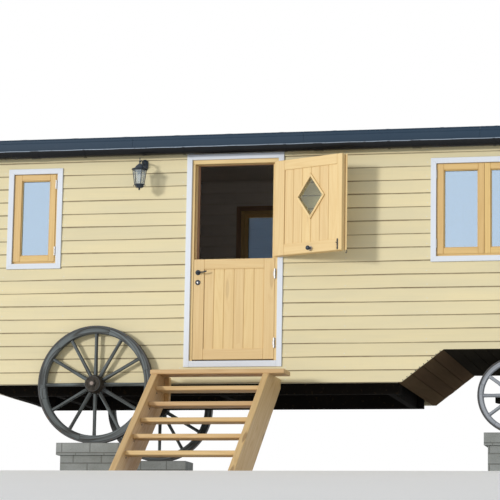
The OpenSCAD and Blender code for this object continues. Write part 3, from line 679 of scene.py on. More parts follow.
def bulb_material():
    """Opal bulb, slightly uneven."""
    material, t, shader = new_material("opal bulb")
    cloud = t.noise(t.place(), 30.0)
    t.put(shader["Base Color"], t.blend(cloud, (0.90, 0.88, 0.80), (0.80, 0.78, 0.70)))
    t.put(shader["Roughness"], t.span(cloud, 0.3, 0.7, 0.25, 0.4))
    t.put(shader["Normal"], t.relief(cloud, 0.1, 0.001))
    return material


concrete = stone_material()
opal = bulb_material()


# Floor, light and background

STAGE_REACH = 45
STAGE_BACK = 40
SLOPE_LENGTH = 24
SLOPE_DROP = 2.4
SUN_WAY = Vector((0.584, 0.797, -0.155))
SUN_STRENGTH = 1.70
SUN_WIDTH = math.radians(8)
SUN_COLOUR = (1.0, 0.97, 0.92)
SKY_COLOUR = (0.95, 0.975, 1.0)
SKY_STRENGTH = 0.56
WHITE = (1, 1, 1)


def make_stage():
    """A level floor round the hut that falls away from the steps towards the camera."""
    foot = low("step_strings").y - 0.08
    mesh = bpy.data.meshes.new("studio_floor")
    rows = [(foot - SLOPE_LENGTH, -SLOPE_DROP), (foot, 0.0), (STAGE_BACK, 0.0)]
    points = [(x, y, z) for y, z in rows for x in (-STAGE_REACH, STAGE_REACH)]
    mesh.from_pydata(points, [], [(0, 1, 3, 2), (2, 3, 5, 4)])
    stage = bpy.data.objects.new("studio_floor", mesh)
    scene.collection.objects.link(stage)
    material, t, shader = new_material("studio floor")
    cloud = t.noise(t.place(), 0.6)
    t.put(shader["Base Color"], t.blend(cloud, (0.93, 0.93, 0.93), (0.96, 0.96, 0.96)))
    fix(shader, Roughness=0.9)
    mesh.materials.append(material)


def make_light():
    """A soft sun from the front left, and white all round."""
    data = bpy.data.lights.new("soft_sun", "SUN")
    data.energy = SUN_STRENGTH
    data.angle = SUN_WIDTH
    data.color = SUN_COLOUR
    sun = bpy.data.objects.new("soft_sun", data)
    scene.collection.objects.link(sun)
    sun.rotation_euler = SUN_WAY.to_track_quat("-Z", "Y").to_euler()
    scene.view_settings.view_transform = "Standard"
    world = bpy.data.worlds.new("studio")
    scene.world = world
    world.use_nodes = True
    t = Tree(world.node_tree)
    seen = t.node("LightPath").outputs
    direct = t.maths("MAXIMUM", seen["Is Camera Ray"], seen["Is Glossy Ray"])
    direct = t.maths("MAXIMUM", direct, seen["Is Transmission Ray"])
    background = world.node_tree.nodes["Background"].inputs
    t.put(background["Color"], t.blend(direct, SKY_COLOUR, WHITE))
    t.put(background["Strength"], t.span(direct, 0.0, 1.0, SKY_STRENGTH, 1.0))


make_stage()
make_light()


# Walls of lapped boards, and the room's own boards

LEAST_COURSE = 0.015
LEAST_LENGTH = 0.010
NAIL_HEAD = [(0.0045, 0), (0.0045, 0.0007), (0.0026, 0.0014)]
NAIL_RISE = 0.032
NAIL_DRIFT = 0.004
NAIL_ROOM = 0.020
ON_WALL = 0.0005

Boarding = namedtuple("Boarding", "foot first course lap butt feather arch_grow")
OUTSIDE = Boarding(SKIRT, FIRST_COURSE, COURSE, LAP, BUTT_EDGE, FEATHER_EDGE, 0.0)
INSIDE = Boarding(FLOOR_TOP + 0.012, ROOM_COURSE, ROOM_COURSE, -0.003, ROOM_BOARD, ROOM_BOARD,
                  ARCH_LINING)


def bow(u):
    """Height of the underside of the roof at a distance from its middle."""
    return ROOF_CENTRE + math.sqrt(ROOF_RADIUS ** 2 - u * u)


def arch_half(w, grow=0.0):
    """Half the width of the wheel arch at height w."""
    slope = (ARCH_HALF_FOOT - ARCH_HALF_TOP) / (ARCH_TOP - SKIRT)
    return ARCH_HALF_TOP + slope * (ARCH_TOP - w) + grow * math.sqrt(1 + slope ** 2)


class Cladding:
    """Boards that run along a wall, one above another, cut round its openings."""

    def __init__(self, kind, place, left, right, holes, top, arch=None, bowed=False):
        self.kind = kind
        self.place = place
        self.left = left
        self.right = right
        self.holes = holes
        self.top = top
        self.arch = arch
        self.arch_top = ARCH_TOP + kind.arch_grow
        self.bowed = bowed

    def courses(self):
        """Lower edge and visible height of each course."""
        foot = self.kind.foot
        visible = self.kind.first
        while foot < self.top - LEAST_COURSE:
            yield foot, visible
            foot += visible
            visible = self.kind.course

    def free(self, below, above):
        """Stretches of wall with no opening between two heights, as slanting edges."""
        middle = (below + above) / 2
        gaps = [((hole[0], hole[0]), (hole[1], hole[1])) for hole in self.holes
                if hole[2] < middle < hole[3]]
        if self.arch is not None and middle < self.arch_top:
            halves = [arch_half(w, self.kind.arch_grow) for w in (below, above)]
            gaps.append(tuple(tuple(self.arch + sign * h for h in halves) for sign in (-1, 1)))
        left, right = self.left, self.right
        if self.bowed:
            reach = math.sqrt(max(0.0, ROOF_RADIUS ** 2 - (below + 0.012 - ROOF_CENTRE) ** 2))
            left, right = max(left, -reach), min(right, reach)
        start = (left, left)
        for one, two in sorted(gaps):
            if one[0] > start[0] + LEAST_LENGTH:
                yield start, one
            start = two
        if right > start[0] + LEAST_LENGTH:
            yield start, (right, right)

    def lay(self, skin):
        for foot, visible in self.courses():
            head = min(foot + visible + self.kind.lap, self.top)
            wood = pick_wood()
            waves = chance.uniform(0, 6), chance.uniform(0, 6)
            cuts = {foot, head}
            for hole in self.holes:
                cuts.update(w for w in hole[2:] if foot < w < head)
            if self.arch is not None and foot < self.arch_top < head:
                cuts.add(self.arch_top)
            cuts = sorted(cuts)
            for below, above in zip(cuts, cuts[1:]):
                for start, end in self.free(below, above):
                    self.stretch(skin, start, end, below, above, foot, visible, wood, waves)

    def proud(self, w, foot, visible):
        """How far the face of a board stands out at height w."""
        share = (w - foot) / (visible + self.kind.lap)
        return self.kind.butt + (self.kind.feather - self.kind.butt) * share

    def stretch(self, skin, start, end, below, above, foot, visible, wood, waves):
        """One board, or the part of it beside an opening."""
        count = max(2, int((end[0] - start[0]) / (0.12 if self.bowed else 0.4)) + 2)
        ease = 0.003 if below == foot else 0.0
        front, back = -self.proud(below, foot, visible), -0.0006
        rings = []
        for k in range(count):
            share = k / (count - 1)
            foot_u, head_u = [a + (b - a) * share for a, b in zip(start, end)]
            edge = below
            if below == foot and self.kind.lap > 0:
                edge += 0.0026 * math.sin(2.1 * foot_u + waves[0])
                edge += 0.0014 * math.sin(5.7 * foot_u + waves[1])
            top = min(above, bow(head_u) - 0.005) if self.bowed else above
            rings.append([(foot_u, back, edge), (foot_u, front + ease, edge),
                          (foot_u, front, edge + ease + 0.0002),
                          (head_u, -self.proud(top, foot, visible), top), (head_u, back, top)])
        across = [(w - foot) / visible for w in (below, below, below + ease, above, above)]
        skin.loft(rings, self.place, lambda p: Vector((p.x, p.z, p.y)), wood, across)

    def nails(self, heads, columns):
        """A column of nail heads at each place along the wall."""
        for foot, visible in self.courses():
            for column in columns:
                u = column + chance.uniform(-NAIL_DRIFT, NAIL_DRIFT)
                w = foot + NAIL_RISE + chance.uniform(-NAIL_DRIFT, NAIL_DRIFT)
                clear = any(max(start) + NAIL_ROOM < u < min(end) - NAIL_ROOM
                            for start, end in self.free(w - NAIL_ROOM, w + NAIL_ROOM))
                if clear and not (self.bowed and bow(u) < w + NAIL_ROOM):
                    seat = seat_at((u, 0.0004 - self.proud(w, foot, visible), w))
                    heads.turned(NAIL_HEAD, self.place @ seat, 8)


def flipped(hole):
    return (-hole[1], -hole[0], hole[2], hole[3])


def beyond(box, by):
    """The opening of a box in a front or back wall, widened."""
    return (box[0].x - by, box[1].x + by, box[0].z - by, box[1].z + by)


LEFT_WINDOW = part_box("left_window")
RIGHT_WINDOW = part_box("right_window")
FRONT_WINDOWS = [LEFT_WINDOW, RIGHT_WINDOW]
BACK_WINDOWS = solids("back_windows")
TRIM_REACH = 0.052
BESIDE_TRIM = 0.0015
DOOR_TRIM = beyond(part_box("door_trim"), 0)
DOOR_HOLE = (DOOR_TRIM[0] - BESIDE_TRIM, DOOR_TRIM[1] + BESIDE_TRIM, DOOR_TRIM[2] - 0.001,
             DOOR_TRIM[3] + 0.001)
FRONT_HOLES = [beyond(box, TRIM_REACH + BESIDE_TRIM) for box in FRONT_WINDOWS] + [DOOR_HOLE]
BACK_HOLES = [flipped(beyond(box, TRIM_REACH + BESIDE_TRIM)) for box in BACK_WINDOWS]
BOARDS_TOP = high("corner_boards").z - 0.001
CORNER = CORNER_BOARD + BESIDE_TRIM
SIDE_ENDS = (BODY_LEFT + CORNER, BODY_RIGHT - CORNER)
NAILS_IN = 0.035
UNDER_LANTERN = 0.42
END_COLUMNS = [-1.05, -0.35, 0.35, 1.05]


def nail_columns(holes):
    """Nail columns a little away from each side of the openings and from the corners."""
    beside = [u for hole in holes for u in (hole[0] - NAILS_IN, hole[1] + NAILS_IN)]
    return beside + [SIDE_ENDS[0] + NAILS_IN, SIDE_ENDS[1] - NAILS_IN]


def make_skin(name, skins, columns):
    boards = Joinery()
    heads = Joinery()
    for skin in skins:
        skin.lay(boards)
        skin.nails(heads, columns)
    boards.make(name, cream, "cream_boards")
    heads.make(name + "_nails", zinc, "hinge_steel")


def make_outside():
    """Lap boards on all four walls."""
    front = Cladding(OUTSIDE, FRONT_FACE, *SIDE_ENDS, FRONT_HOLES, BOARDS_TOP, ARCH_X)
    back = Cladding(OUTSIDE, BACK_FACE, *SIDE_ENDS, BACK_HOLES, BOARDS_TOP, -ARCH_X)
    ends = [Cladding(OUTSIDE, face, CORNER - HALF_WIDTH, HALF_WIDTH - CORNER, [], bow(0), bowed=True)
            for face in (LEFT_FACE, RIGHT_FACE)]
    make_skin("front_lap_boards", [front], nail_columns(FRONT_HOLES) + [UNDER_LANTERN])
    make_skin("back_lap_boards", [back], nail_columns(BACK_HOLES))
    make_skin("end_lap_boards", ends, END_COLUMNS)


make_outside()

PLANK = 0.14
PLANK_GAP = 0.002


def make_room_boards():
    """Boards on the inside of the four walls and planks on the floor."""
    inside = WALL + ON_WALL
    inward = seat_at((0, inside, 0), "Z", 2)
    door = (low("door_frame").x, high("door_frame").x, FLOOR_TOP, high("door_frame").z)
    front = [flipped(hole) for hole in [beyond(box, 0) for box in FRONT_WINDOWS] + [door]]
    back = [beyond(box, 0) for box in BACK_WINDOWS]
    left, right = BODY_LEFT + WALL + ROOM_BOARD, BODY_RIGHT - WALL - ROOM_BOARD
    half = HALF_WIDTH - WALL - ROOM_BOARD
    top = bow(HALF_WIDTH - WALL) - 0.004
    boards = Joinery()
    Cladding(INSIDE, Matrix.Translation((0, BACK - inside, 0)), left, right, back, top,
             ARCH_X).lay(boards)
    Cladding(INSIDE, FRONT_FACE @ inward, -right, -left, front, top, -ARCH_X).lay(boards)
    for face in (LEFT_FACE, RIGHT_FACE):
        Cladding(INSIDE, face @ inward, -half, half, [], bow(0), bowed=True).lay(boards)
    boards.make("room_boards", room_wood, "dark_boards")
    planks = Joinery()
    edge = arch_half(FLOOR_TOP, ARCH_LINING) + 0.006
    y = FRONT + WALL + ROOM_BOARD + 0.004
    while y < BACK - WALL - 0.1:
        wide = min(PLANK, BACK - WALL - ROOM_BOARD - 0.004 - y)
        for x0, x1 in ((left, ARCH_X - edge), (ARCH_X + edge, right)):
            planks.board((x0, y, FLOOR_TOP + 0.0005), (x1, y + wide - PLANK_GAP, FLOOR_TOP + 0.0105),
                         ease=0.002)
        y += wide
    planks.make("floor_planks", room_wood, "dark_boards")


make_room_boards()


# Trims round the openings and boards on the corners

MITRE_GAP = 0.0004
TRIM_EASE = 0.002
DOOR_SILL = 0.060
ROOM_TRIM = 0.016
ROOM_TRIM_LAP = 0.006


def ring_of_trim(trims, hole, wide, thick):
    """Four mitred boards round an opening, which is given by its inner edges."""
    u0, u1, w0, w1 = hole
    gap = MITRE_GAP
    for way, a, b, ends in (("x", (u0 + gap, w1), (u1 - gap, w1 + wide), (-1, 1)),
                            ("x", (u0 - wide + gap, w0 - wide), (u1 + wide - gap, w0), (1, -1)),
                            ("z", (u0 - wide, w0 - wide + gap), (u0, w1 + wide - gap), (1, -1)),
                            ("z", (u1, w0 + gap), (u1 + wide, w1 - gap), (-1, 1))):
        trims.board((a[0], -thick, a[1]), (b[0], -ON_WALL, b[1]), way, TRIM_EASE, ends)


def make_trims():
    trims = Joinery(FRONT_FACE)
    inner = TRIM_REACH - TRIM
    for box in FRONT_WINDOWS:
        ring_of_trim(trims, beyond(box, inner), TRIM, TRIM_THICK)
    trims.place = BACK_FACE
    for box in BACK_WINDOWS:
        ring_of_trim(trims, flipped(beyond(box, inner)), TRIM, TRIM_THICK)
    trims.make("window_trim_boards", white, "white_paint", replaces=["window_trims"])
    door = Joinery(FRONT_FACE)
    left, right, sill, top = DOOR_TRIM
    gap = MITRE_GAP
    d0, d1 = -TRIM_THICK, -ON_WALL
    door.board((left, d0, sill), (left + TRIM, d1, top - gap), "z", TRIM_EASE, (0, -1))
    door.board((right - TRIM, d0, sill), (right, d1, top - TRIM - gap), "z", TRIM_EASE, (0, 1))
    left, right = left + TRIM + gap, right - TRIM - gap
    door.board((left, d0, top - TRIM), (right, d1, top), "x", TRIM_EASE, (-1, 1))
    door.board((left, d0, sill), (right, d1, sill + DOOR_SILL), "x", TRIM_EASE)
    door.make("door_trim_boards", white, "white_paint", replaces=["door_trim"])
    corners = Joinery()
    for sign in (-1, 1):
        for faces, inner, outer in (
                ((FRONT_FACE, BACK_FACE), BODY_RIGHT - CORNER_BOARD, BODY_RIGHT + TRIM_THICK),
                ((LEFT_FACE, RIGHT_FACE), HALF_WIDTH - CORNER_BOARD, HALF_WIDTH - 0.0008)):
            near, far = sorted((sign * inner, sign * outer))
            for face in faces:
                corners.place = face
                corners.board((near, d0, SKIRT), (far, d1, BOARDS_TOP), "z")
    corners.make("corner_board_pairs", white, "white_paint", replaces=["corner_boards"])


def make_room_trims():
    """Brown boards round the windows and the door, on the inside."""
    inward = seat_at((0, WALL + ROOM_BOARD + 0.001, 0), "Z", 2)
    front, back = FRONT_FACE @ inward, BACK_FACE @ inward
    trims = Joinery(front)
    for box in FRONT_WINDOWS:
        ring_of_trim(trims, flipped(beyond(box, -ROOM_TRIM_LAP)), 0.060, ROOM_TRIM)
    trims.place = back
    for box in BACK_WINDOWS:
        ring_of_trim(trims, beyond(box, -ROOM_TRIM_LAP), 0.050, ROOM_TRIM)
    trims.place = front
    door_low, door_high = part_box("door_frame")
    u0, u1 = 0.004 - door_high.x, -0.004 - door_low.x
    foot, head = FLOOR_TOP + 0.013, door_high.z - 0.004
    for a, b in ((u0 - 0.056, u0), (u1, u1 + 0.056)):
        trims.board((a, -ROOM_TRIM, foot), (b, -ON_WALL, head), "z")
    trims.board((u0 - 0.056, -ROOM_TRIM, head + MITRE_GAP), (u1 + 0.056, -ON_WALL, head + 0.050))
    trims.make("room_trims", brown_trim, "dark_boards")


make_trims()
make_room_trims()


# Windows: frame, casements with bead, hinges and stays, over the glass of the frame

POST = 0.034
MULLION = 0.042
FRAME_FACE = 0.004
SASH = 0.060
SASH_LIP = 0.029
SASH_FACE, SASH_BACK = -0.006, 0.022
SASH_STILE = 0.070
WIDE_STILE = 0.078
MEETING_STILE = 0.059
SHUTTING_GAP = 0.0095
POST_SHOWN = 0.017
SILL_SHOWN = 0.024
WIDE_WINDOW = 0.7
BEAD = 0.008
BEAD_BACK = 0.025
HAIRLINE = 0.0003
KNUCKLES = 3
HINGE_HIGH = 0.090
HINGE_RADIUS = 0.0080
HINGE_IN = 0.105
STAY_IN = 0.030
STAY_BEND = [(0, 0), (0.022, 0), (0.030, -0.02), (0.030, -0.10)]


def make_window(wood, irons, box, face, left_hung, stile=SASH_STILE, post_shown=0.0):
    """One window of golden pine on a face of the hut; left_hung is given for each casement."""
    half = (box[1].x - box[0].x) / 2
    foot, top = box[0].z, box[1].z
    shift = centre_of(box).x if face == FRONT_FACE else -centre_of(box).x
    wood.place = irons.place = face @ Matrix.Translation((shift, 0, 0))
    for sign in (-1, 1):
        x0, x1 = sorted((sign * half, sign * (half - POST)))
        wood.board((x0, FRAME_FACE, foot), (x1, WALL, top), "z", TRIM_EASE)
    x0, x1 = POST - half, half - POST
    wood.board((x0, FRAME_FACE, top - POST), (x1, WALL, top), "x", TRIM_EASE)
    wood.board((x0, 0.002, foot), (x1, WALL, foot + POST), "x", TRIM_EASE)
    if len(left_hung) == 2:
        wood.board((-MULLION / 2, 0.012, foot + POST), (MULLION / 2, WALL, top - POST), "z", TRIM_EASE)
    leaf = (x1 - x0 - (len(left_hung) - 1) * MULLION) / len(left_hung)
    z0, z1 = foot + SILL_SHOWN, top - POST + SASH_LIP - 0.002
    for k, hung in enumerate(left_hung):
        left = x0 + k * (leaf + MULLION) - SASH_LIP
        right = left + leaf + 2 * SASH_LIP - post_shown
        left_stile, right_stile = stile, stile - post_shown
        if k == 1:
            left += SHUTTING_GAP
            left_stile = MEETING_STILE
        elif len(left_hung) == 2:
            right -= SHUTTING_GAP
            right_stile = MEETING_STILE
        make_casement(wood, irons, (left, right), (z0, z1), (left_stile, right_stile), hung)


def make_casement(wood, irons, across, upright, stiles, left_hung):
    """Stiles and rails with a bead inside them, two hinges and a stay."""
    x0, x1 = across
    z0, z1 = upright
    wood.board((x0, SASH_FACE, z0), (x0 + stiles[0], SASH_BACK, z1), "z")
    wood.board((x1 - stiles[1], SASH_FACE, z0), (x1, SASH_BACK, z1), "z")
    rail0, rail1 = x0 + stiles[0] + HAIRLINE, x1 - stiles[1] - HAIRLINE
    g0, g1 = z0 + SASH, z1 - SASH
    wood.board((rail0, SASH_FACE, g1), (rail1, SASH_BACK, z1))
    wood.board((rail0, SASH_FACE, z0), (rail1, SASH_BACK, g0))
    for a, b in ((rail0, rail0 + BEAD), (rail1 - BEAD, rail1)):
        wood.board((a, FRAME_FACE, g0), (b, BEAD_BACK, g1), "z")
    for a, b in ((g0, g0 + BEAD), (g1 - BEAD, g1)):
        wood.board((rail0 + BEAD, FRAME_FACE, a), (rail1 - BEAD, BEAD_BACK, b))
    hinge_x = x0 - 0.002 if left_hung else x1 + 0.004
    for z in (z1 - HINGE_IN, z0 + HINGE_IN):
        barrel(irons, (hinge_x, SASH_FACE - 0.006, z - HINGE_HIGH / 2), HINGE_HIGH, HINGE_RADIUS)
    x, z = rail1 + STAY_IN if left_hung else rail0 - STAY_IN, (z0 + z1) / 2
    irons.board((x - 0.008, SASH_BACK, z - 0.045), (x + 0.008, SASH_BACK + 0.004, z + 0.045), "z", 0.001)
    irons.bent([(x, SASH_BACK + out, z + up) for out, up in STAY_BEND], 0.0055)


def barrel(irons, foot, length, radius):
    """Hinge knuckles on a pin with small rounded ends."""
    step = length / KNUCKLES
    profile = [(radius * 0.5, -0.002), (radius * 0.8, -0.0005)]
    for k in range(KNUCKLES):
        profile += [(radius, k * step + 0.0006), (radius, (k + 1) * step - 0.0006),
                    (radius * 0.86, (k + 1) * step)]
    profile.append((radius * 0.5, length + 0.002))
    irons.turned(profile, Matrix.Translation(foot), 14)


def make_windows():
    hinges = Joinery()
    left, right, back = Joinery(), Joinery(), Joinery()
    make_window(left, hinges, LEFT_WINDOW, FRONT_FACE, [False], WIDE_STILE, POST_SHOWN)
    make_window(right, hinges, RIGHT_WINDOW, FRONT_FACE, [True, False])
    for box in BACK_WINDOWS:
        pair = box[1].x - box[0].x > WIDE_WINDOW
        make_window(back, hinges, box, BACK_FACE, [True, False] if pair else [True])
    left.make("left_window_joinery", casement_wood, "honey_pine", replaces=["left_window"])
    right.make("right_window_joinery", casement_wood, "honey_pine", replaces=["right_window"])
    back.make("back_window_joinery", casement_wood, "honey_pine", replaces=["back_windows"])
    hinges.make("window_hinges", steel, "hinge_steel")


make_windows()


# Stable door: frame, two leaves and their ironmongery

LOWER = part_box("lower_leaf_frame")
LEAF_LEFT, LEAF_RIGHT = LOWER[0].x, LOWER[1].x
LEAF_FACE, LEAF_BACK = LOWER[0].y, LOWER[1].y
LOWER_FOOT, LOWER_TOP = LOWER[0].z, LOWER[1].z
UPPER_FOOT = low("upper_leaf_frame").z
UPPER_TOP = high("upper_leaf_frame").z
RAIL = 0.100
BOTTOM_RAIL = 0.108
LOWER_STILE = 0.108
HINGE_STILE = 0.140
FREE_STILE = 0.060
UPPER_MIDDLE = (LEAF_LEFT + LEAF_RIGHT - HINGE_STILE + FREE_STILE) / 2
HINGE_REBATE = 0.029
LEAF_PLAY = 0.005
SILL_HIGH = 0.040
STOP_STEP = 0.010
STOP_REACH = 0.037
STRIP = 0.018
LEAF_BOARDS = 6
PANEL_INSET = 0.010
VEE = 0.004
DIAMOND_WIDE = 0.335
DIAMOND_HIGH = 0.460
DIAMOND_Z = UPPER_TOP - 0.390
DIAMOND_EDGE = 0.024
PIN = Vector(joints["upper_leaf_hinge"]["pos_m"])
OPEN_ANGLE = -math.radians(joints["upper_leaf_hinge"]["range_deg"][0])
PIN_PLACE = Matrix.Translation((PIN.x, PIN.y, 0))
SWUNG = PIN_PLACE @ Matrix.Rotation(OPEN_ANGLE, 4, "Z") @ PIN_PLACE.inverted()


def leaf_rails(wood, z0, z1, left, right, rebate=0.0):
    """Stiles and rails, tenoned; the stile on the hinges can be rebated on its inner side."""
    edge = LEAF_RIGHT - rebate
    wood.board((LEAF_LEFT, LEAF_FACE, z0), (LEAF_LEFT + left, LEAF_BACK, z1), "z")
    wood.board((LEAF_RIGHT - right, LEAF_FACE, z0), (edge, LEAF_BACK, z1), "z")
    if rebate:
        wood.board((edge + HAIRLINE, LEAF_FACE, z0), (LEAF_RIGHT, LEAF_FACE + STRIP, z1), "z", TRIM_EASE)
    for foot, head in ((z0, z0 + BOTTOM_RAIL), (z1 - RAIL, z1)):
        wood.board((LEAF_LEFT + left + MITRE_GAP, LEAF_FACE + HAIRLINE, foot),
                   (LEAF_RIGHT - right - MITRE_GAP, LEAF_BACK - HAIRLINE, head))


def leaf_panel(wood, z0, z1, left, right, diamond=False):
    """Six upright boards with a V where they meet, cut round the diamond."""
    first = LEAF_LEFT + left
    step = (LEAF_RIGHT - right - first) / LEAF_BOARDS
    half_w, half_h = DIAMOND_WIDE / 2 - 0.006, DIAMOND_HIGH / 2 - 0.008
    corners = (UPPER_MIDDLE - half_w, UPPER_MIDDLE, UPPER_MIDDLE + half_w)
    for k in range(LEAF_BOARDS):
        x0, x1 = first + k * step + 0.0006, first + (k + 1) * step - 0.0006
        kind = pick_wood()
        if not diamond:
            vee_board(wood, [(x0, z0, z1), (x1, z0, z1)], kind)
            continue
        marks = sorted([x0, x1, *(x for x in corners if x0 < x < x1)])
        rises = [max(0.0, half_h * (1 - abs(x - UPPER_MIDDLE) / half_w)) for x in marks]
        vee_board(wood, [(x, z0, DIAMOND_Z - rise) for x, rise in zip(marks, rises)], kind)
        vee_board(wood, [(x, DIAMOND_Z + rise, z1) for x, rise in zip(marks, rises)], kind)


def vee_board(wood, marks, kind):
    """An upright board from left to right through (x, foot, head) marks, its long edges cut to a V."""
    def between(one, two, x):
        share = (x - one[0]) / (two[0] - one[0])
        return (x, one[1] + (two[1] - one[1]) * share, one[2] + (two[2] - one[2]) * share)

    first, last = marks[0], marks[-1]
    stations = [(first, VEE), (between(first, marks[1], first[0] + VEE), 0.0)]
    stations += [(mark, 0.0) for mark in marks[1:-1]]
    stations += [(between(marks[-2], last, last[0] - VEE), 0.0), (last, VEE)]
    rings = []
    for (x, foot, head), inset in stations:
        front, back = LEAF_FACE + PANEL_INSET + inset, LEAF_BACK - PANEL_INSET - inset
        rings.append([(x, front, foot), (x, front, head), (x, back, head), (x, back, foot)])
    wood.loft(rings, grain=upright_grain, wood=kind)


def make_door_frame():
    """Jambs, head and sill of pine, with a stop of red brown wood behind the leaves."""
    wood = Joinery()
    stops = Joinery()
    frame_low, frame_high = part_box("door_frame")
    face, back = frame_low.y, frame_high.y
    sill_top = frame_low.z + SILL_HIGH
    left, right = LEAF_LEFT - LEAF_PLAY, LEAF_RIGHT + LEAF_PLAY
    head = UPPER_TOP + LEAF_PLAY
    wood.board((frame_low.x, face, sill_top), (left, back, head), "z")
    wood.board((right, face, sill_top), (frame_high.x, back, head), "z")
    wood.board((frame_low.x, face, head + MITRE_GAP), (frame_high.x, back, frame_high.z))
    wood.board((frame_low.x, FRONT, frame_low.z), (frame_high.x, back, sill_top), "x", 0.004)
    for x in (left - HAIRLINE, right + HAIRLINE):
        wood.board((x - 0.0035, face - 0.0012, sill_top), (x + 0.0035, face + 0.002, head), "z", 0.001)
    left, right = left + HAIRLINE, right - HAIRLINE
    rebate = LEAF_BACK + LEAF_PLAY
    stop = rebate + STOP_STEP
    wood.board((left, rebate, sill_top), (LEAF_LEFT + 0.016, stop, head), "z")
    wood.board((LEAF_RIGHT - STOP_REACH, rebate, sill_top), (right, stop, head), "z")
    wood.board((LEAF_LEFT + 0.0165, rebate, UPPER_TOP - 0.001),
               (LEAF_RIGHT - STOP_REACH - 0.0005, stop, head - HAIRLINE), "x", TRIM_EASE)
    stop += HAIRLINE
    back -= 0.001
    stops.board((left, stop, sill_top), (LEAF_LEFT + STOP_REACH, back, head), "z")
    stops.board((LEAF_RIGHT - STOP_REACH, stop, sill_top), (right, back, head), "z")
    stops.board((LEAF_LEFT + STOP_REACH + 0.0005, stop, UPPER_TOP - 0.007),
                (LEAF_RIGHT - STOP_REACH - 0.0005, back, head - HAIRLINE))
    wood.make("door_frame_joinery", honey, "honey_pine", replaces=["door_frame"])
    stops.make("door_lining", stop_wood, "honey_pine")


ROSE = [(0.026, 0), (0.026, 0.004), (0.023, 0.0068), (0.019, 0.0058), (0.017, 0.008), (0.004, 0.008)]
KEY_PLATE = [(0.0085, 0), (0.0085, 0.0012), (0.0070, 0.0016)]
LEVER_NECK = [(0.010, 0), (0.0105, 0.004), (0.0085, 0.010), (0.0085, 0.026), (0.0105, 0.034),
              (0.0105, 0.040), (0.006, 0.042)]
LEVER_BEND = [(-0.006, 0, 0.006), (0.014, 0.001, 0.0085), (0.040, -0.002, 0.0065),
              (0.066, -0.001, 0.0068), (0.086, 0.005, 0.0078), (0.098, 0.009, 0.0070)]
KNOB = [(0.011, 0.006), (0.009, 0.014), (0.008, 0.024), (0.011, 0.029), (0.018, 0.032), (0.022, 0.038),
        (0.023, 0.043), (0.0205, 0.050), (0.014, 0.055), (0.005, 0.0575)]
KNOB_ROSE = [(0.024, 0), (0.024, 0.003), (0.021, 0.006), (0.013, 0.0065)]
HOOK_BEND = [(0, 0.001, 0), (0, -0.004, -0.003), (0, -0.005, -0.026), (0.005, -0.005, -0.036),
             (0.011, -0.005, -0.034), (0.013, -0.005, -0.026)]


def make_lever():
    """The roses of the lever and the key, the keyhole's plate and the lever itself."""
    roses = Joinery()
    boxes = solids("lower_leaf_roses")
    for box in boxes:
        roses.turned(ROSE, seat_at((centre_of(box).x, LEAF_FACE, centre_of(box).z)), 32)
    roses.make("lever_and_key_roses", blacking, "black_metal", "lower_leaf",
               replaces=["lower_leaf_roses"])
    x, y, z = centre_of(boxes[0]).x, boxes[0][0].y, centre_of(boxes[0]).z
    keyhole = Joinery()
    keyhole.turned(KEY_PLATE, seat_at((x, y, z)), 20)
    keyhole.board((x - 0.004, y - 0.0014, z - 0.016), (x + 0.004, y, z - 0.004), "z", 0.0005)
    keyhole.make("keyhole_plate", steel, "hinge_steel", "lower_leaf")
    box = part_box("lever_handle")
    x, y, z = box[0].x + 0.011, box[0].y + 0.006, centre_of(box).z
    lever = Joinery()
    lever.turned(LEVER_NECK, seat_at((x, box[1].y, z)), 20)
    lever.bent([(x + bend[0], y, z + bend[1]) for bend in LEVER_BEND], [bend[2] for bend in LEVER_BEND])
    lever.make("lever_bar", blacking, "black_metal", "lever", replaces=["lever_handle"])


def diamond_edges(wood):
    """Four mouldings round the light, on both faces of the leaf."""
    half_w, half_h = DIAMOND_WIDE / 2, DIAMOND_HIGH / 2
    ends = [Vector((-half_w, 0)), Vector((0, -half_h)), Vector((half_w, 0)), Vector((0, half_h))]
    inside = (half_w - DIAMOND_EDGE) / half_w
    for face, outward in ((LEAF_FACE, -1), (LEAF_BACK, 1)):
        for k in range(4):
            one, two = ends[k], ends[(k + 1) % 4]
            outline = [one, two, two * inside, one * inside]
            centre = sum(outline, Vector((0, 0))) / 4
            rings = []
            for out, scale in ((-0.012, 1.0), (0.003, 1.0), (0.006, 0.985)):
                ring = [centre + (p - centre) * scale for p in outline]
                rings.append([(UPPER_MIDDLE + p.x, face + out * outward, DIAMOND_Z + p.y) for p in ring])
            way = (two - one).normalized()
            wood.loft(rings, grain=lambda p, w=way: Vector(
                (p.x * w.x + p.z * w.y, p.x * -w.y + p.z * w.x, p.y)))


def make_leaf(leaf, place, z0, z1, left, right, rebate=0.0, diamond=False):
    """The rails and the boards of one leaf, with or without the diamond light."""
    rails = Joinery(place)
    leaf_rails(rails, z0, z1, left, right, rebate)
    if diamond:
        diamond_edges(rails)
    rails.make(leaf + "_rails", honey, "honey_pine", leaf, replaces=[leaf + "_frame"])
    panel = Joinery(place)
    leaf_panel(panel, z0 + BOTTOM_RAIL, z1 - RAIL, left, right, diamond)
    panel.make(leaf + "_panel", honey, "honey_pine", leaf, replaces=[leaf + "_boards"])


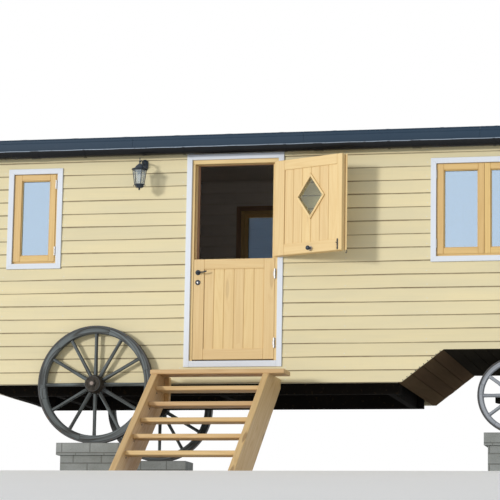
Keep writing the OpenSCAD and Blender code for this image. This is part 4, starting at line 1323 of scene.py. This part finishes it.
def make_cover_strips():
    """Strips that lap over the frame and over the lower leaf."""
    lips = Joinery(SWUNG)
    outer, near = LEAF_FACE - STRIP, LEAF_FACE - HAIRLINE
    foot, head = UPPER_FOOT + 0.001, UPPER_TOP - 0.001
    lips.board((LEAF_LEFT + HAIRLINE, outer, foot), (LEAF_LEFT + 0.030, near, head), "z")
    lips.board((LEAF_LEFT - 0.024, outer, foot), (LEAF_LEFT, LEAF_FACE - 0.008, head), "z")
    lips.board((LEAF_LEFT + 0.0305, outer, UPPER_FOOT - 0.004),
               (LEAF_RIGHT - STRIP, near, UPPER_FOOT + 0.034))
    lips.make("upper_leaf_cover_strips", honey, "honey_pine", "upper_leaf")


def make_knob():
    seat = seat_at((UPPER_MIDDLE - 0.005, LEAF_BACK, UPPER_FOOT + 0.042), "X", -1)
    knob = Joinery(SWUNG)
    knob.turned(KNOB, seat, 28)
    knob.make("upper_leaf_ball_knob", blacking, "black_metal", "upper_leaf",
              replaces=["upper_leaf_knob"])
    rose = Joinery(SWUNG)
    rose.turned(KNOB_ROSE, seat, 28)
    rose.make("knob_rose", pale_rose, "hinge_steel", "upper_leaf")


def make_bolt():
    """A slide bolt on the inside of the upper leaf, and a hook on its cover strip."""
    bolt = Joinery(SWUNG)
    x, y, z = LEAF_LEFT + 0.046, LEAF_BACK, UPPER_FOOT + 0.006
    bolt.board((x - 0.006, y, z), (x + 0.006, y + 0.002, z + 0.100), "z", 0.0006)
    bolt.bent([(x, y + 0.007, z), (x, y + 0.007, z + 0.108)], 0.0042)
    for up in (0.010, 0.046, 0.082):
        bolt.board((x - 0.006, y + 0.002, z + up), (x + 0.006, y + 0.0125, z + up + 0.010))
    bolt.bent([(x, y + 0.009, z + 0.066), (x + 0.003, y + 0.024, z + 0.066)], [0.0032, 0.0050])
    hook = Vector((LEAF_LEFT - 0.019, LEAF_FACE - STRIP, UPPER_FOOT + 0.010))
    bolt.bent([hook + Vector(bend) for bend in HOOK_BEND], 0.0034)
    bolt.make("upper_leaf_bolt_and_hook", blacking, "black_metal", "upper_leaf")


make_door_frame()
make_leaf("lower_leaf", Matrix(), LOWER_FOOT, LOWER_TOP, LOWER_STILE, LOWER_STILE)
make_lever()
make_leaf("upper_leaf", SWUNG, UPPER_FOOT, UPPER_TOP, FREE_STILE, HINGE_STILE, HINGE_REBATE, True)
make_cover_strips()
make_knob()
make_bolt()


# Lantern: bell cap, six-sided cage, arm with a scroll and domed back plate

LANTERN_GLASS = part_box("lantern_glass")
LANTERN_X = centre_of(LANTERN_GLASS).x
LANTERN_AXIS = Matrix.Translation((LANTERN_X, centre_of(LANTERN_GLASS).y, LANTERN_GLASS[1].z))
CAP = [(0.070, 0), (0.0815, -0.001), (0.0820, 0.003), (0.077, 0.007), (0.060, 0.010), (0.050, 0.018),
       (0.043, 0.028), (0.035, 0.038), (0.025, 0.048), (0.013, 0.057), (0.007, 0.062), (0.0055, 0.072),
       (0.009, 0.077), (0.0095, 0.082), (0.006, 0.087), (0.0042, 0.100), (0.004, 0.114),
       (0.0025, 0.121)]
CUP = [(0.030, -0.186), (0.036, -0.184), (0.047, -0.160), (0.052, -0.154), (0.052, -0.149),
       (0.040, -0.148)]
PENDANT = [(0.003, -0.2098), (0.0075, -0.206), (0.0095, -0.200), (0.007, -0.194), (0.010, -0.190),
           (0.014, -0.185)]
BULB_HOLDER = [(0.013, -0.052), (0.013, -0.010), (0.030, 0.001)]
COLLAR = [(0.060, -0.010), (0.073, -0.010), (0.074, 0.0005), (0.060, 0.0005)]
ARM = [(0, 0.076), (0.030, 0.092), (0.070, 0.104), (0.110, 0.102), (0.150, 0.090), (0.185, 0.078)]
ARM_RADII = [0.008, 0.0075, 0.007, 0.007, 0.0075, 0.009]
SCROLL_STEPS = 15
PLATE_STEPS = [(1, 0), (1, 0.018), (0.93, 0.024), (0.75, 0.026), (0.62, 0.033), (0.35, 0.037)]
PLATE_SCREW = [(0.006, 0.022), (0.006, 0.027), (0.003, 0.030)]


def make_lantern():
    cage = Joinery(LANTERN_AXIS)
    for profile, sides in ((CAP, 48), (CUP, 6), (PENDANT, 20), (BULB_HOLDER, 20), (COLLAR, 6)):
        cage.turned(profile, sides=sides)
    for angle in round_turn(6):
        way = Vector((math.cos(angle), math.sin(angle), 0))
        foot, bend, tip = [Vector((0, 0, height)) for height in (-0.152, -0.162, -0.172)]
        cage.bent([way * 0.0495 + foot, way * 0.0720], 0.0038)
        cage.bent([way * 0.051 + foot, way * 0.060 + bend, way * 0.054 + tip], [0.003, 0.0035, 0.002])
    cage.bent([(0, y, z) for y, z in ARM], ARM_RADII)
    scroll = []
    for k in range(SCROLL_STEPS):
        angle, reach = 2.2 - 0.42 * k, 0.026 - 0.0013 * k
        scroll.append((0, 0.130 + reach * math.cos(angle), 0.080 + reach * math.sin(angle)))
    cage.bent(scroll, [0.0055 - 0.0001 * k for k in range(SCROLL_STEPS)])
    cage.make("lantern_cage", blacking, "black_metal", replaces=["lantern_frame"])


def make_back_plate():
    """A plate with round ends that rises in steps, with two screws."""
    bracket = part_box("lantern_bracket")
    half = (bracket[1].x - bracket[0].x) / 2
    straight = (bracket[1].z - bracket[0].z) / 2 - half
    level = centre_of(bracket).z
    rings = []
    for scale, depth in PLATE_STEPS:
        ring = []
        for k in range(40):
            angle = 2 * math.pi * (k + 0.5) / 40
            rise = math.copysign(straight, math.sin(angle))
            ring.append((LANTERN_X + scale * half * math.cos(angle), FRONT - depth,
                         level + rise + scale * half * math.sin(angle)))
        rings.append(ring)
    plate = Joinery()
    plate.loft(rings)
    for rise in (-0.040, 0.040):
        plate.turned(PLATE_SCREW, seat_at((LANTERN_X, FRONT, level + rise)), 14)
    plate.make("lantern_back_plate", blacking, "black_metal", replaces=["lantern_bracket"])


make_lantern()
make_back_plate()


# Steps of fresh pine

SIDES = solids("step_strings")
TREADS = solids("step_treads")
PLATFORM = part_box("top_step")
SIDE_FOOT = low("step_strings").y
SIDE_HEAD = PLATFORM[0].y - 0.002
SIDE_DEPTH = 0.680
SIDE_SLOPE = 1.375
SIDE_GRAIN = (0.809, 0.588)
STEP_EASE = 0.006
SIDE_SCREW = [(0.008, 0), (0.008, 0.002), (0.004, 0.005)]
PLATFORM_SCREW = [(0.007, 0), (0.007, 0.0012), (0.003, 0.002)]


def sloping_grain(p):
    along, down = SIDE_GRAIN
    return Vector((along * p.y + down * p.z, down * p.y - along * p.z, p.x))


def make_steps():
    sides = Joinery()
    under = PLATFORM[0].z
    rise = (FRONT - SIDE_FOOT - SIDE_DEPTH) / SIDE_SLOPE
    outline = [(SIDE_FOOT, 0.0), (SIDE_FOOT + SIDE_DEPTH, 0.0), (FRONT, rise), (FRONT, under),
               (SIDE_HEAD, under)]
    for box in SIDES:
        sides.cut_out(outline, box[0].x, box[1].x, sloping_grain)
    sides.make("step_side_boards", fresh, "fresh_pine", replaces=["step_strings"])
    for name, boxes, way, ease, node in (
            ("step_tread_boards", TREADS, "x", STEP_EASE, "step_treads"),
            ("step_platform_board", [PLATFORM], "x", STEP_EASE, "top_step"),
            ("step_cleat_blocks", solids("step_cleats"), "y", 0.003, "step_cleats")):
        boards = Joinery()
        for box in boxes:
            boards.board(*box, way, ease)
        boards.make(name, fresh, "fresh_pine", replaces=[node])
    screws = Joinery()
    for box in TREADS:
        for sign, x in ((1, SIDES[0][1].x), (-1, SIDES[1][0].x)):
            screws.turned(SIDE_SCREW, seat_at((x, box[0].y + 0.045, box[0].z - 0.022), "Y", sign), 12)
    for box in SIDES:
        for y in (PLATFORM[0].y + 0.05, PLATFORM[1].y - 0.06):
            screws.turned(PLATFORM_SCREW, Matrix.Translation((centre_of(box).x, y, PLATFORM[1].z)), 12)
    screws.make("step_screws", blacking, "black_metal")


make_steps()


# Wheels of oak: felloes, spokes and a turned nave with iron bands

Wheel = namedtuple("Wheel", "radius inner rim spokes nave wood")
REAR = Wheel(0.572, 0.508, 0.070, 12, 0.093, grey_wood)
FORE = Wheel(0.354, 0.312, 0.060, 10, 0.074, pale_wood)
FELLOE_STEPS = 12
FELLOE_GAP = 0.0012


def felloe(wheel, start, length):
    """Rings of one segment of the rim, from one angle over a length of turn."""
    half = wheel.rim / 2
    section = [(wheel.radius, 0.004 - half), (wheel.radius, half - 0.004), (wheel.radius - 0.004, half),
               (wheel.inner + 0.010, half), (wheel.inner, half - 0.012), (wheel.inner, 0.012 - half),
               (wheel.inner + 0.010, -half), (wheel.radius - 0.004, -half)]
    gap = FELLOE_GAP / wheel.radius
    for s in range(FELLOE_STEPS + 1):
        angle = start + gap + (length - 2 * gap) * s / FELLOE_STEPS
        yield [(r * math.cos(angle), r * math.sin(angle), z) for r, z in section]


def spoke(wheel):
    """Rings of a spoke that is stout at the nave and thin in the middle."""
    nave, inner = wheel.nave, wheel.inner
    for r, across, deep in ((nave - 0.006, 0.019, 0.024), (nave + 0.05, 0.0195, 0.026),
                            (nave + 0.12, 0.0185, 0.0225), ((nave + inner) / 2, 0.0175, 0.020),
                            (inner - 0.06, 0.0170, 0.019), (inner - 0.004, 0.0185, 0.021),
                            (inner + 0.006, 0.0185, 0.021)):
        yield [(r, across * math.cos(a), deep * math.sin(a)) for a in round_turn(14)]


def make_wheel(node, body, joint, wheel):
    """One wheel about its axle; its outside looks away from the hut."""
    centre = Vector(joints[joint]["pos_m"])
    place = seat_at(centre, "X", 1 if centre.y < MIDDLE else -1)
    wood = Joinery(place)
    segments = wheel.spokes // 2
    for k in range(segments):
        start = 2 * math.pi * (k + 0.25) / segments
        wood.loft(list(felloe(wheel, start, 2 * math.pi / segments)), grain=lambda p: Vector(
            (math.atan2(p.y, p.x) * wheel.radius, math.hypot(p.x, p.y), p.z)))
    for angle in round_turn(wheel.spokes):
        wood.loft(list(spoke(wheel)), Matrix.Rotation(angle, 4, "Z"))
    wood.make(node + "_felloes_spokes", wheel.wood, "grey_oak", body, replaces=[node])
    nave, inside, face = wheel.nave, -wheel.rim / 2 - 0.020, wheel.rim / 2
    hub = Joinery(place)
    hub.turned([(nave - 0.022, inside), (nave - 0.004, inside + 0.004), (nave, inside + 0.02),
                (nave, face + 0.02), (nave - 0.004, face + 0.034), (nave - 0.010, face + 0.055),
                (nave - 0.018, face + 0.060), (nave - 0.018, face + 0.080),
                (nave - 0.022, face + 0.085)], sides=40)
    hub.make(node + "_nave", nave_wood, "grey_oak", body)
    bands = Joinery(place)
    for radius, z0, z1 in ((nave + 0.0015, inside + 0.006, inside + 0.030),
                           (nave - 0.0150, face + 0.062, face + 0.083)):
        bands.turned([(radius - 0.012, z0), (radius, z0 + 0.001), (radius, z1 - 0.001),
                      (radius - 0.012, z1)], sides=40)
    bands.make(node + "_nave_bands", tyre_iron, "iron_tyre", body)


def make_axle(node, joint, rim, face):
    """Axle bed with iron straps, round arms and a hexagon nut at each end."""
    centre = Vector(joints[joint]["pos_m"])
    half_bed = (high(node).x - low(node).x) / 2
    bed_end = HALF_WIDTH + face - 0.026
    nut = HALF_WIDTH + face + rim + 0.0863
    wood = Joinery()
    wood.board((centre.x - half_bed, MIDDLE - bed_end, centre.z - half_bed),
               (centre.x + half_bed, MIDDLE + bed_end, centre.z + half_bed), "y", 0.008)
    wood.make(node + "_bed", underframe, "dark_frame", replaces=[node])
    irons, nuts, ends = Joinery(), Joinery(), Joinery()
    reach, half = half_bed + 0.005, half_bed - 0.0005
    side_half = half - 0.0001
    for side in (-1, 1):
        seat = seat_at((centre.x, MIDDLE, centre.z), "X", -side)
        irons.turned([(0.0238, bed_end - 0.04), (0.0238, nut)], seat)
        irons.turned([(0.030, bed_end + 0.0003), (0.040, bed_end + 0.002), (0.040, bed_end + 0.005)],
                     seat)
        nuts.turned([(0.030, nut + 0.0002), (0.0338, nut + 0.002), (0.0338, nut + 0.010),
                     (0.029, nut + 0.0125)], seat, 6)
        ends.turned([(0.0195, nut + 0.0122), (0.0195, nut + 0.0150), (0.0170, nut + 0.0172),
                     (0.0080, nut + 0.0180)], seat, 20)
        for share in (0.70, 0.38):
            y = MIDDLE + side * bed_end * share
            for x0, z0, x1, z1 in ((-reach, -reach, reach, -half), (-reach, half, reach, reach),
                                   (-reach, -side_half, -half, side_half),
                                   (half, -side_half, reach, side_half)):
                irons.board((centre.x + x0, y - 0.020, centre.z + z0),
                            (centre.x + x1, y + 0.020, centre.z + z1), "y", 0.001)
    irons.make(node + "_arms_and_straps", tyre_iron, "iron_tyre")
    nuts.make(node + "_nuts", nut_iron, "iron_tyre")
    ends.make(node + "_pin_ends", rubbed_iron, "iron_tyre")


for end, wheel in (("rear", REAR), ("front", FORE)):
    for side in ("front", "back"):
        make_wheel(f"{end}_wheel_{side}", f"wheel_{end}_{side}", f"{end}_{side}_spin", wheel)
make_axle("rear_axle", "rear_front_spin", REAR.rim, 0.040)
make_axle("front_axle", "front_front_spin", FORE.rim, -0.090)


# Roof: ceiling boards below, sheets with standing seams above

DECK_BOARDS = 20
DECK_GAP = 0.0012
BOW_REACH = ROOF_HALF - 0.001


def along_bow(skin, section, t0=-1.0, t1=1.0, steps=24):
    """A strip that follows the bow of the roof; its section is given as (x, radius)."""
    rings = []
    for s in range(steps + 1):
        share = t0 + (t1 - t0) * s / steps
        ring = []
        for x, r in section:
            angle = share * math.asin(BOW_REACH / r)
            ring.append((x, MIDDLE + r * math.sin(angle), ROOF_CENTRE + r * math.cos(angle)))
        rings.append(ring)
    skin.loft(rings)


def oblong(x0, x1, r0, r1):
    return [(x0, ROOF_RADIUS + r0), (x1, ROOF_RADIUS + r0), (x1, ROOF_RADIUS + r1),
            (x0, ROOF_RADIUS + r1)]


def make_roof():
    left, right = low("roof").x + 0.001, high("roof").x - 0.001
    deck = Joinery()
    wide = 2 / DECK_BOARDS
    for k in range(DECK_BOARDS):
        t0, t1 = -1 + k * wide + DECK_GAP, -1 + (k + 1) * wide - DECK_GAP
        along_bow(deck, oblong(left, right, 0, 0.019), t0, t1, 2)
    deck.make("roof_deck_boards", room_wood, "dark_boards", replaces=["roof"])
    sheet = Joinery()
    pans = round((right - left) / SEAM_PITCH)
    pitch = (right - left) / pans
    for k in range(pans):
        x0 = left + k * pitch
        along_bow(sheet, oblong(x0 + 0.002, x0 + pitch - 0.002, 0.0195, 0.0225))
        if k:
            along_bow(sheet, oblong(x0 - 0.007, x0 + 0.007, 0.0226, 0.0445))
    sheet.make("roof_seamed_sheet", slate, "slate_metal")


# Folded edge round the roof, given as (outwards, up), with its hem, its crease and its drip

EDGE_FOLDS = [(0, 0), (0.0118, 0), (0.0118, 0.005), (0.0085, 0.009), (0.0085, 0.076),
              (0.0108, 0.079), (0.0108, 0.083), (0.0070, 0.086), (0.0070, 0.105), (0.0118, 0.108),
              (0.0118, 0.115), (0.0090, 0.118), (0, 0.118)]
EDGE_HIGH = EDGE_FOLDS[-1][1]
EDGE_LENGTHS = 4
VERGE_FOOT = -0.060
VERGE_HIGH = 0.105
CORNER_THICK = 0.0116


def make_roof_edge():
    edge = Joinery()
    foot = low("roof_edge").z
    end = high("roof").x
    length = 2 * end / EDGE_LENGTHS
    for side in (-1, 1):
        outline = [(MIDDLE + side * (ROOF_HALF + out), foot + up) for out, up in EDGE_FOLDS]
        if side < 0:
            outline.reverse()
        for k in range(EDGE_LENGTHS):
            x0 = -end + k * length
            edge.cut_out(outline, x0 + 0.0006, x0 + length - 0.0006, ease=0.0008)
        section = [(side * (end + out), ROOF_RADIUS + VERGE_FOOT + up * VERGE_HIGH / EDGE_HIGH)
                   for out, up in EDGE_FOLDS]
        along_bow(edge, section, steps=32)
        for corner in (-1, 1):
            x0, x1 = sorted((side * (end + 0.0004), side * (end + CORNER_THICK)))
            y0, y1 = sorted((corner * (ROOF_HALF - 0.0006), corner * (ROOF_HALF + CORNER_THICK)))
            edge.board((x0, MIDDLE + y0, foot), (x1, MIDDLE + y1, foot + EDGE_HIGH - 0.001), "z")
    edge.make("roof_folded_edge", slate, "slate_metal", replaces=["roof_edge"])


# Gutters: a bead on the lip, coloured pale as a painted highlight, and sleeves where two lengths meet

GUTTER_RADIUS = 0.064
GUTTER_OUT = HALF_WIDTH + 0.092
LIP_STEPS = 60
LIP_WAVE = 0.0012
SLEEVES = [-2.77, 0.153, 1.135]
SLEEVE_HALF = 0.045
SLEEVE_OUTER = 0.0678
SLEEVE_INNER = 0.0642


def make_gutter_fittings():
    beads = Joinery()
    sleeves = Joinery()
    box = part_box("gutters")
    level = box[1].z
    start, length = box[0].x + 0.001, box[1].x - box[0].x - 0.002
    around = [math.pi * (1 + k / 20) for k in range(21)]
    for side in (-1, 1):
        centre = MIDDLE + side * GUTTER_OUT
        lip = MIDDLE + side * (GUTTER_OUT + GUTTER_RADIUS - 0.004)
        beads.bent([(start + length * k / LIP_STEPS, lip, level + 0.001 + LIP_WAVE * math.sin(k * 1.9))
                    for k in range(LIP_STEPS + 1)], 0.0052)
        outline = [(centre + radius * math.cos(a), level + radius * math.sin(a))
                   for radius, angles in ((SLEEVE_OUTER, around), (SLEEVE_INNER, around[::-1]))
                   for a in angles]
        for x in SLEEVES:
            sleeves.cut_out(outline, x - SLEEVE_HALF, x + SLEEVE_HALF, ease=0.0005)
    beads.make("gutter_lip_beads", lip_painted_highlight, "hinge_steel")
    sleeves.make("gutter_sleeves", black, "black_metal")


make_roof()
make_roof_edge()
make_gutter_fittings()


# Wheel arch lined with boards that run from front to back

ARCH_GAP = 0.0018
ARCH_EASE = 0.004
SIDE_ROWS = 4
TOP_ROWS = 10
ARCH_NAILS = 10
ARCH_NAIL = [(0.0050, -0.008), (0.0050, 0.0010), (0.0025, 0.0020)]


def arch_board(boards, ring):
    """A board through the arch, from its outline seen from the front."""
    y0, y1 = low("arch_lining").y, high("arch_lining").y
    boards.loft([[(ARCH_X + u, y, w) for u, w in ring] for y in (y0, y1)],
                grain=lambda p: Vector((p.y, p.x, p.z)))


def make_arch():
    boards = Joinery()
    nails = Joinery()
    step = (ARCH_TOP - SKIRT) / SIDE_ROWS
    for side in (-1, 1):
        for k in range(SIDE_ROWS):
            w0 = SKIRT + k * step + ARCH_GAP
            w1 = ARCH_TOP if k == SIDE_ROWS - 1 else SKIRT + (k + 1) * step - ARCH_GAP
            ring = [(arch_half(w0 + ARCH_EASE), w0 + ARCH_EASE), (arch_half(w0, 0.005), w0),
                    (arch_half(w0, ARCH_LINING), w0), (arch_half(w1, ARCH_LINING), w1),
                    (arch_half(w1, 0.005), w1), (arch_half(w1 - ARCH_EASE), w1 - ARCH_EASE)]
            arch_board(boards, [(side * u, w) for u, w in ring])
        for k in range(ARCH_NAILS):
            w = SKIRT + 0.018 + k * 0.031
            x = ARCH_X + side * (arch_half(w) + 0.010)
            nails.turned(ARCH_NAIL, seat_at((x, FRONT - BUTT_EDGE, w)), 10)
            nails.turned(ARCH_NAIL, seat_at((x, BACK + BUTT_EDGE, w), "X", -1), 10)
    boards.make("arch_lining_boards", stained, "dark_boards", replaces=["arch_lining"])
    make_arch_top()
    nails.make("arch_edge_nails", blacking, "black_metal")


def make_arch_top():
    """Boards across the top of the arch, darker than the sides as painted shade; the outer two meet the
    sloping sides.
    """
    boards = Joinery()
    head, outer_foot = ARCH_TOP + ARCH_LINING, ARCH_TOP + 0.027
    reach = arch_half(head, ARCH_LINING)
    lower_reach = arch_half(ARCH_TOP, ARCH_LINING)
    wide = 2 * reach / TOP_ROWS
    for k in range(TOP_ROWS):
        u0, u1 = -reach + k * wide + ARCH_GAP, -reach + (k + 1) * wide - ARCH_GAP
        foot0, foot1 = u0 + 0.003, u1 - 0.003
        edge0 = edge1 = ARCH_TOP + 0.003
        if k == 0:
            foot0, edge0 = -lower_reach, outer_foot
        if k == TOP_ROWS - 1:
            foot1, edge1 = lower_reach, outer_foot
        arch_board(boards, [(u0, edge0), (foot0, ARCH_TOP), (foot1, ARCH_TOP), (u1, edge1),
                            (u1, head), (u0, head)])
    boards.make("arch_top_boards", shaded_stain, "dark_boards")


make_arch()


# Finishes of the nodes that stay as they came

def finish(material, *nodes):
    for node in nodes:
        mesh = frame["nodes"][node].data
        mesh.materials.clear()
        mesh.materials.append(material)


finish(cream_wall, "front_wall_left", "front_wall_right", "front_wall_over_door", "back_wall",
       "left_end_wall", "right_end_wall")
finish(floor_wood, "floor")
finish(black, "gutters")
finish(steel, "door_hinges", "lower_leaf_hinges", "upper_leaf_hinges")
finish(pane_painted_sky, "window_glass")
finish(clear_pane, "upper_leaf_glass")
finish(lantern_pane, "lantern_glass")
finish(opal, "lantern_bulb")
finish(underframe, "chassis_beams", "turntable", "bolster")
finish(tyre_iron, "rear_tyre_front", "rear_tyre_back", "front_tyre_front", "front_tyre_back")
finish(concrete, "wheel_pads")
